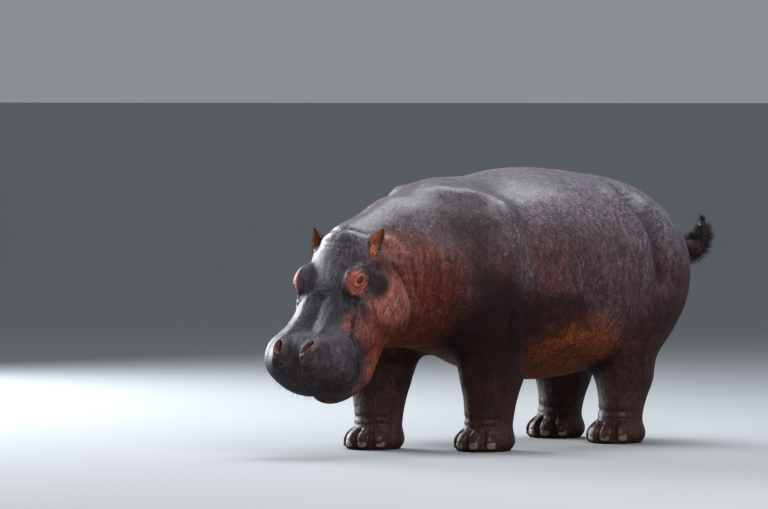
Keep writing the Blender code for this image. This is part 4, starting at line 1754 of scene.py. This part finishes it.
def piece(name: str, mesh: bpy.types.Mesh, finish: Finish) -> bpy.types.Object:
    """An object of the mesh at the origin, with its finish.

    Args:
        name: The piece's name.
        mesh: Its mesh, in the part's frame.
        finish: What it is made of.

    Returns:
        The new object.
    """
    mesh.name = name
    mesh.materials.clear()
    mesh.materials.append(finish.material())
    obj = bpy.data.objects.new(name, mesh)
    bpy.context.scene.collection.objects.link(obj)
    LOG.info("%s: %d faces", name, len(mesh.polygons))
    return obj


def store(mesh: bpy.types.Mesh, name: str, values: np.ndarray) -> None:
    """Stores a number or a colour for each vertex of a mesh.

    Args:
        mesh: What carries the values.
        name: The attribute's name.
        values: A number or a row of four for each vertex.
    """
    kind, key = ("FLOAT", "value") if values.ndim == 1 else ("FLOAT_COLOR", "color")
    layer = mesh.attributes.get(name) or mesh.attributes.new(name, kind, "POINT")
    layer.data.foreach_set(key, values.astype(np.float32).ravel())


@dataclass(frozen=True)
class EyeBall:
    """One eyeball with a bulging cornea, turned the way the lids face."""

    lids: EyeLids
    iris: float = 0.0112
    bulge: float = 0.0022
    pupil: tuple[float, float] = (0.0052, 0.0030)  # half its length and height
    segments: int = 40

    def build(self, shift: Vector, finish: Finish) -> bpy.types.Object:
        """The eyeball as a piece.

        Args:
            shift: From the body's frame to the part's.
            finish: What it is made of.

        Returns:
            The new object.
        """
        radius = self.lids.head.eye_radius
        length, height = self.pupil
        shape = bmesh.new()
        sides = {"u_segments": self.segments, "v_segments": self.segments // 2}
        bmesh.ops.create_uvsphere(shape, **sides, radius=radius)
        off, slit = [], []
        for vert in shape.verts:
            x, y, z = vert.co
            away = math.hypot(x, y) if z > 0 else radius * 2
            off.append(away)
            slit.append(math.hypot(x / length, y / height) if z > 0 else 9.0)
            vert.co *= 1 + self.bulge / radius * max(0.0, 1 - (away / self.iris) ** 2)
        place = Matrix.Translation(shift) @ self.lids.facing()
        bmesh.ops.transform(shape, matrix=place, verts=shape.verts)
        if place.determinant() < 0:
            bmesh.ops.reverse_faces(shape, faces=shape.faces)
        mesh = mesh_of(shape, "eye")
        store(mesh, "gaze", np.array(off))
        store(mesh, "slit", np.array(slit))
        return piece(f"eyeball_{self.lids.side.value}", mesh, finish)


@dataclass(frozen=True)
class Nail:
    """The blunt nail at the tip of one toe."""

    leg: Leg
    number: int
    radii: Point = (0.013, 0.026, 0.023)
    seat: Point = (0.042, 0.0, -0.006)  # its middle, in the toe's frame
    rings: int = 10
    segments: int = 28

    def build(self, shift: Vector, finish: Finish) -> bpy.types.Object:
        """The nail as a piece.

        Args:
            shift: From the body's frame to the part's.
            finish: What it is made of.

        Returns:
            The new object.
        """
        toe = list(self.leg.toes())[self.number - 1]
        frame = Matrix.Translation(shift) @ toe @ Matrix.Translation(self.seat)
        shape = bmesh.new()
        sides = {"u_segments": self.segments, "v_segments": self.rings * 2}
        bmesh.ops.create_uvsphere(shape, **sides, radius=1.0)
        low = []
        for vert in shape.verts:
            x, y, z = vert.co
            boxy = (abs(x) ** 3 + abs(y) ** 3 + abs(z) ** 3) ** (-1 / 3)
            x, y, z = x * boxy, y * boxy, z * boxy
            low.append(float(smooth_step(-0.2, -0.9, np.array(z))))
            y *= 1 - 0.16 * max(z, 0.0)
            x = min(x * (1 - 0.35 * z), 1.0) if x > 0 else x
            vert.co = (x * self.radii[0], y * self.radii[1], z * self.radii[2])
        bmesh.ops.transform(shape, matrix=frame, verts=shape.verts)
        mesh = mesh_of(shape, "nail")
        store(mesh, "low", np.array(low))
        return piece(f"horn_{self.leg.name}_{self.number}", mesh, finish)


@dataclass(frozen=True)
class BristleTree:
    """Geometry nodes that set one bent, tapered bristle on every point of a mesh.

    Each point carries its bristle's way out, the way it bends to, and its length.
    """

    name: str = "bristles"
    sides: int = 4
    lengths: int = 5

    def build(self) -> bpy.types.NodeTree:
        """The finished tree, with inputs for thickness, bend and material.

        Returns:
            The tree.
        """
        tree = bpy.data.node_groups.new(self.name, "GeometryNodeTree")
        graph = Graph(tree)
        for name, kind in (
            ("Geometry", "NodeSocketGeometry"),
            ("Thickness", "NodeSocketFloat"),
            ("Bend", "NodeSocketFloat"),
            ("Material", "NodeSocketMaterial"),
        ):
            tree.interface.new_socket(name, in_out="INPUT", socket_type=kind)
        tree.interface.new_socket("Geometry", in_out="OUTPUT", socket_type="NodeSocketGeometry")
        given = graph.node("NodeGroupInput").socket.node.outputs
        roots, thickness, bend, material = (Value(graph, given[index]) for index in range(4))
        inputs = {
            "Points": roots,
            "Instance": self.bristle(graph, thickness, bend),
            "Rotation": self.turn(graph),
            "Scale": self.named(graph, "size", "FLOAT"),
        }
        instances = graph.node("GeometryNodeInstanceOnPoints", {}, inputs)
        loose = graph.node("GeometryNodeRealizeInstances", {}, {"Geometry": instances})
        dressed = graph.node("GeometryNodeSetMaterial", {}, {"Geometry": loose, "Material": material})
        graph.node("NodeGroupOutput", {}, {"Geometry": dressed})
        return tree

    @staticmethod
    def named(graph: Graph, name: str, kind: str) -> Value:
        """An attribute of the points."""
        return graph.node("GeometryNodeInputNamedAttribute", {"data_type": kind}, {"Name": name})

    def bristle(self, graph: Graph, thickness: Value, bend: Value) -> Value:
        """One bristle of length 1 along z, bent towards x, that knows how far along it is.

        Args:
            graph: The graph that takes its nodes.
            thickness: Radius at the root, as a share of the length.
            bend: How far the tip leans over, likewise.

        Returns:
            The mesh of one bristle.
        """
        sizes = {"Vertices": self.sides, "Side Segments": self.lengths, "Fill Segments": 1}
        radii = {"Radius Top": thickness * 0.15, "Radius Bottom": thickness, "Depth": 1.0}
        cone = graph.node("GeometryNodeMeshCone", {"fill_type": "NGON"}, {**sizes, **radii})
        place = graph.node("GeometryNodeInputPosition")
        along = graph.node("ShaderNodeSeparateXYZ", {}, {0: place}, "Z")
        sideways = graph.node("ShaderNodeCombineXYZ", {}, {"X": along * along * bend})
        bent = graph.node("GeometryNodeSetPosition", {}, {"Geometry": cone, "Offset": sideways})
        settings = {"data_type": "FLOAT", "domain": "POINT"}
        inputs = {"Geometry": bent, "Name": "along", "Value": along}
        return graph.node("GeometryNodeStoreNamedAttribute", settings, inputs)

    def turn(self, graph: Graph) -> Value:
        """Rotation that sets z along the bristle's way out and x the way it bends.

        Args:
            graph: The graph that takes its nodes.

        Returns:
            The rotation.
        """
        kind = "FunctionNodeAlignRotationToVector"
        lay, droop = (self.named(graph, name, "FLOAT_VECTOR") for name in ("lay", "droop"))
        upright = graph.node(kind, {"axis": "Z"}, {"Vector": lay})
        return graph.node(kind, {"axis": "X", "pivot_axis": "Z"}, {"Rotation": upright, "Vector": droop})


@dataclass
class Bristles:
    """Stiff hairs of one region: roots, ways out, ways they bend, lengths and places on a map."""

    name: str
    roots: np.ndarray
    lay: np.ndarray
    droop: np.ndarray
    size: np.ndarray
    patch: np.ndarray
    thickness: float
    bend: float

    def build(self, tree: bpy.types.NodeTree, shift: Vector, finish: Finish) -> bpy.types.Object:
        """The bristles as one piece.

        Args:
            tree: The geometry nodes that make them.
            shift: From the body's frame to the part's.
            finish: What they are made of.

        Returns:
            The new object.
        """
        mesh = bpy.data.meshes.new("roots")
        mesh.from_pydata((self.roots + floats(shift)).tolist(), [], [])
        for name in ("lay", "droop", "patch"):
            layer = mesh.attributes.new(name, "FLOAT_VECTOR", "POINT")
            layer.data.foreach_set("vector", getattr(self, name).astype(np.float32).ravel())
        store(mesh, "size", self.size)
        maker = bpy.data.objects.new("maker", mesh)
        bpy.context.scene.collection.objects.link(maker)
        modifier = maker.modifiers.new("bristles", "NODES")
        modifier.node_group = tree
        values = {"Thickness": self.thickness, "Bend": self.bend, "Material": finish.material()}
        for socket in tree.interface.items_tree:
            if socket.in_out == "INPUT" and socket.name in values:
                modifier[socket.identifier] = values[socket.name]
        seen = maker.evaluated_get(bpy.context.evaluated_depsgraph_get())
        made = bpy.data.meshes.new_from_object(seen)
        maker.modifiers.clear()
        bpy.data.objects.remove(maker)
        bpy.data.meshes.remove(mesh)
        self.lay_map(made)
        return piece(self.name, made, finish)

    @staticmethod
    def lay_map(mesh: bpy.types.Mesh) -> None:
        """Gives each bristle a small patch of the map at its root's place.

        Args:
            mesh: The realized bristles, changed in place.
        """
        patch = floats([entry.vector for entry in mesh.attributes["patch"].data])
        along = floats([entry.value for entry in mesh.attributes["along"].data])
        corners = np.array([loop.vertex_index for loop in mesh.loops])
        across = (corners % BristleTree.sides) / BristleTree.sides
        place = patch[corners, :2]
        place += PATCH * (np.stack([across, along[corners]], axis=1) - 0.5)
        mesh.uv_layers.new(name="OFBake").data.foreach_set("uv", place.astype(np.float32).ravel())


@dataclass
class Coat:
    """Where the bristles grow: round the muzzle, along the ears and on the tail's edges."""

    animal: Hippopotamus
    surface: Surface
    draw: np.random.Generator = field(default_factory=lambda: np.random.default_rng(23))
    whiskers: int = 260
    rim_hairs: int = 170
    cup_hairs: int = 90
    foot_hairs: int = 110
    tail_hairs: int = 1500

    def strewn(self, way: np.ndarray, amount: float) -> np.ndarray:
        """Unit vectors near the given ones."""
        way = way + self.draw.normal(0.0, amount, way.shape)
        return way / np.linalg.norm(way, axis=1, keepdims=True)

    def chosen(self, mask: np.ndarray, count: int) -> np.ndarray:
        """Some points of the skin where the mask allows, at random."""
        allowed = np.flatnonzero(mask)
        return self.draw.choice(allowed, min(count, len(allowed)), replace=False)

    def muzzle(self) -> Bristles:
        """Sparse stiff whiskers on lips, chin and nostril mounds.

        Returns:
            The whiskers.
        """
        face = self.animal.head.frame
        local = seen_from(face, self.surface.points)
        ahead = self.surface.normals @ floats(face.to_3x3())
        on_lips = (local[:, 0] > 0.60) & (local[:, 2] > -0.42) & (local[:, 2] < -0.02)
        on_lips &= (ahead[:, 0] > 0.25) | (np.abs(local[:, 1]) > 0.20)
        picked = self.chosen(on_lips & (self.surface.inside < 0.05), self.whiskers)
        root = self.surface.points[picked]
        out = self.surface.normals[picked]
        lay = self.strewn(out + np.array((0.15, 0.0, -0.45)), 0.16)
        droop = np.tile((0.0, 0.0, -1.0), (len(picked), 1))
        around = np.arctan2(local[picked, 1], -0.175 - local[picked, 2])
        patch = np.stack([0.5 + around / 7.0, 0.1 + 3.0 * (local[picked, 0] - 0.58), 0 * around], axis=1)
        size = self.draw.uniform(0.016, 0.034, len(picked))
        return Bristles("bristles_muzzle", root - lay * 0.002, lay, droop, size, patch, 0.028, 0.2)

    def ear(self, ear: Ear) -> Bristles:
        """Fine hairs along the rim of one ear, thickest round its foot and in its cup.

        Args:
            ear: Which ear.

        Returns:
            Its hairs.
        """
        frame = ear.frame()
        turn = floats(frame.to_3x3())
        local = seen_from(frame, self.surface.points)
        share = local[:, 2] / ear.height
        width = np.array([ear.outline(float(s)) if 0 < s < 1 else 1.0 for s in share])
        on_ear = (self.surface.ear > 0.25) & (np.linalg.norm(local, axis=1) < 0.2)
        rim = on_ear & (np.abs(local[:, 1]) > 0.80 * width) & (share < 0.92)
        cup = on_ear & (self.surface.ear > 1.35) & (share < 0.55)
        foot = on_ear & (share < 0.30) & (local[:, 0] > -0.012)
        counts = ((rim, self.rim_hairs), (cup, self.cup_hairs), (foot, self.foot_hairs))
        picked = np.concatenate([self.chosen(mask, count) for mask, count in counts])
        place = local[picked]
        sideways = np.sign(place[:, 1]) * np.clip(np.abs(place[:, 1]) / 0.03, 0, 1)
        rise = share[picked]
        way = np.stack([0.55 - 0.3 * rise, sideways, 0.25 + 0.9 * rise], axis=1)
        lay = self.strewn(way @ turn.T, 0.22)
        droop = np.tile(turn[:, 2], (len(picked), 1))
        size = self.draw.uniform(0.012, 0.026, len(picked)) * (1.25 - 0.7 * rise)
        around = np.arctan2(place[:, 1], place[:, 0])
        patch = np.stack([0.5 + around / 7.0, 0.05 + 0.9 * rise, 0 * rise], axis=1)
        root = self.surface.points[picked] - lay * 0.0015
        return Bristles(f"bristles_ear_{ear.side.value}", root, lay, droop, size, patch, 0.022, 0.35)

    def tail(self) -> Bristles:
        """Long black bristles along both edges of the flattened end of the tail.

        Returns:
            The tuft.
        """
        tail = self.animal.tail
        line = smooth_line([Vector(point) for point in tail.points[1:]], 0.004)
        places = [np.linspace(0, 1, count) for count in (len(line), len(tail.radii) - 1)]
        radii = np.interp(*places, tail.radii[1:])
        along = np.gradient(line, axis=0)
        along /= np.linalg.norm(along, axis=1, keepdims=True)
        share = 0.34 + 0.66 * self.draw.random(self.tail_hairs) ** 0.75
        index = np.minimum((share * (len(line) - 1)).astype(int), len(line) - 1)
        side = np.where(self.draw.random(len(index)) < 0.5, 1.0, -1.0)[:, None]
        flat = np.array((0.0, 1.0, 0.0))
        edge = np.cross(along[index], flat)
        edge /= np.linalg.norm(edge, axis=1, keepdims=True)
        spread = self.draw.normal(0.0, 0.42, len(index))[:, None]
        out = side * edge * np.cos(spread) + flat * np.sin(spread)
        root = line[index] + out * radii[index, None] * 0.85
        lay = self.strewn(out + along[index] * (0.15 + 0.6 * share[:, None] ** 8), 0.20)
        size = self.draw.uniform(0.75, 1.15, len(index)) * (0.060 - 0.038 * share**8)
        tip = share > 0.95
        lay[tip] = self.strewn(along[index[tip]] * 0.9, 0.45)
        root[tip] = line[-1] + lay[tip] * radii[-1] * 0.7
        across = 0.5 + 0.2 * side[:, 0] + 0.12 * spread[:, 0]
        patch = np.stack([0.03 + 0.94 * share, across, 0 * share], axis=1)
        return Bristles("bristles_tail", root, lay, along[index], size, patch, 0.030, 0.40)

    def regions(self) -> list[Bristles]:
        """The bristles of every region."""
        return [self.muzzle(), *(self.ear(ear) for ear in self.animal.ears), self.tail()]


@dataclass(frozen=True)
class Lamp:
    """One soft square light that points at the animal."""

    name: str
    place: Point
    size: float
    watts: float
    colour: Point
    target: Point = (0.2, 0.0, 0.8)

    def build(self) -> None:
        """Hangs the light."""
        made = bpy.data.objects.new(self.name, bpy.data.lights.new(self.name, "AREA"))
        made.data.size = self.size
        made.data.energy = self.watts
        made.data.color = self.colour
        made.location = self.place
        made.visible_camera = False
        way = Vector(self.target) - Vector(self.place)
        made.rotation_euler = way.to_track_quat("-Z", "Y").to_euler()
        bpy.context.scene.collection.objects.link(made)


@dataclass(frozen=True)
class Studio:
    """The pale floor, the soft lights and the camera, level with the animal's back and far off."""

    azimuth: float = 130.0
    distance: float = 34.2
    height: float = 1.86
    lens: float = 300.0
    film: float = 36.0
    horizon: float = 0.20508  # how far above the middle it lies, in widths of the image
    shift: float = -0.161
    floor_half: float = 1500.0
    surround: Point = (0.80, 0.86, 0.93)
    glow: float = 0.32
    lamps: tuple[Lamp, ...] = (
        Lamp("sky", (-1.5, -0.9, 7.0), 4.8, 575.0, (0.93, 0.96, 1.0)),
        Lamp("key", (4.0, 6.0, 5.0), 3.5, 440.0, (1.0, 0.96, 0.90)),
        Lamp("rim", (-0.4, -9.2, 3.2), 6.0, 1900.0, (0.93, 0.96, 1.0)),
    )

    def floor(self) -> None:
        """Lays a wide floor, a millimetre under the soles, that is not part of the animal."""
        shape = bmesh.new()
        bmesh.ops.create_grid(shape, x_segments=1, y_segments=1, size=self.floor_half)
        bmesh.ops.translate(shape, verts=shape.verts, vec=(0, 0, -0.001))
        piece("studio_floor", mesh_of(shape, "floor"), FloorFinish("studio_paint"))

    def camera(self, middle: Vector) -> None:
        """Sets up the camera.

        Args:
            middle: The point that it looks past, from the side.
        """
        turn = math.radians(self.azimuth)
        away = Vector((math.sin(turn), -math.cos(turn), 0.0))
        pitch = math.atan(self.horizon * self.film / self.lens)
        seen = -away * math.cos(pitch) - Vector((0, 0, math.sin(pitch)))
        made = bpy.data.objects.new("camera", bpy.data.cameras.new("camera"))
        made.location = Vector((middle.x, middle.y, 0.0)) + away * self.distance
        made.location.z = self.height
        made.rotation_euler = seen.to_track_quat("-Z", "Y").to_euler()
        made.data.lens = self.lens
        made.data.sensor_width = self.film
        made.data.shift_x = self.shift
        made.data.clip_end = 4000.0
        bpy.context.scene.collection.objects.link(made)
        bpy.context.scene.camera = made

    def build(self, middle: Vector) -> None:
        """Sets up the floor, camera, lights and a pale surround.

        Args:
            middle: The point of the floor under the animal.
        """
        self.floor()
        self.camera(middle)
        for lamp in self.lamps:
            lamp.build()
        world = bpy.data.worlds.new("surround")
        bpy.context.scene.world = world
        bpy.context.scene.view_settings.view_transform = "Standard"
        world.use_nodes = True
        back = world.node_tree.nodes["Background"]
        back.inputs["Color"].default_value = (*self.surround, 1.0)
        back.inputs["Strength"].default_value = self.glow


# -------------------- everything in order


def dress_skin(animal: Hippopotamus, shift: Vector, nodes: Iterable[str]) -> Surface:
    """Builds the skin and puts it in place of the flesh.

    Args:
        animal: What it is the skin of.
        shift: From the body's frame to the part's.
        nodes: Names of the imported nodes.

    Returns:
        What is known of the skin's points.
    """
    mesh, surface = animal.skin_mesh()
    paint = Paint(animal.head, animal.legs)
    tint = paint.colours(surface)
    store(mesh, "tint", tint)
    store(mesh, "crease", surface.crease)
    store(mesh, "film", paint.film(surface, tint))
    mesh.transform(Matrix.Translation(shift))
    skin = piece("hide", mesh, WetHide("wet_hide"))
    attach(skin, "root")
    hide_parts(*sorted(name for name in nodes if not name.startswith(("eye_", "nail_"))))
    return surface


def main() -> None:
    """Builds and dresses every piece in order."""
    logging.basicConfig(level=logging.INFO, format="%(name)s %(message)s", stream=sys.stdout)
    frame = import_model()
    animal = Hippopotamus()
    low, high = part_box("eye_left")
    shift = (low + high) / 2 - animal.head.frame @ Vector(animal.head.eye)
    shift.z = 0.0
    surface = dress_skin(animal, shift, frame["nodes"])
    tree = BristleTree().build()
    for region in Coat(animal, surface).regions():
        bristles = region.build(tree, shift, BristleFinish("stiff_hair"))
        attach(bristles, "root")
    for lids in animal.lids:
        eye = EyeBall(lids).build(shift, EyeFinish("wet_eye"))
        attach(eye, "root")
        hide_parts(f"eye_{lids.side.value}")
    for leg in animal.legs:
        for number in range(1, len(leg.toe_angles) + 1):
            nail = Nail(leg, number).build(shift, NailFinish("worn_horn"))
            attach(nail, "root")
            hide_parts(f"nail_{leg.name}_{number}")
    Studio().build(shift)


if __name__ == "__main__":
    main()
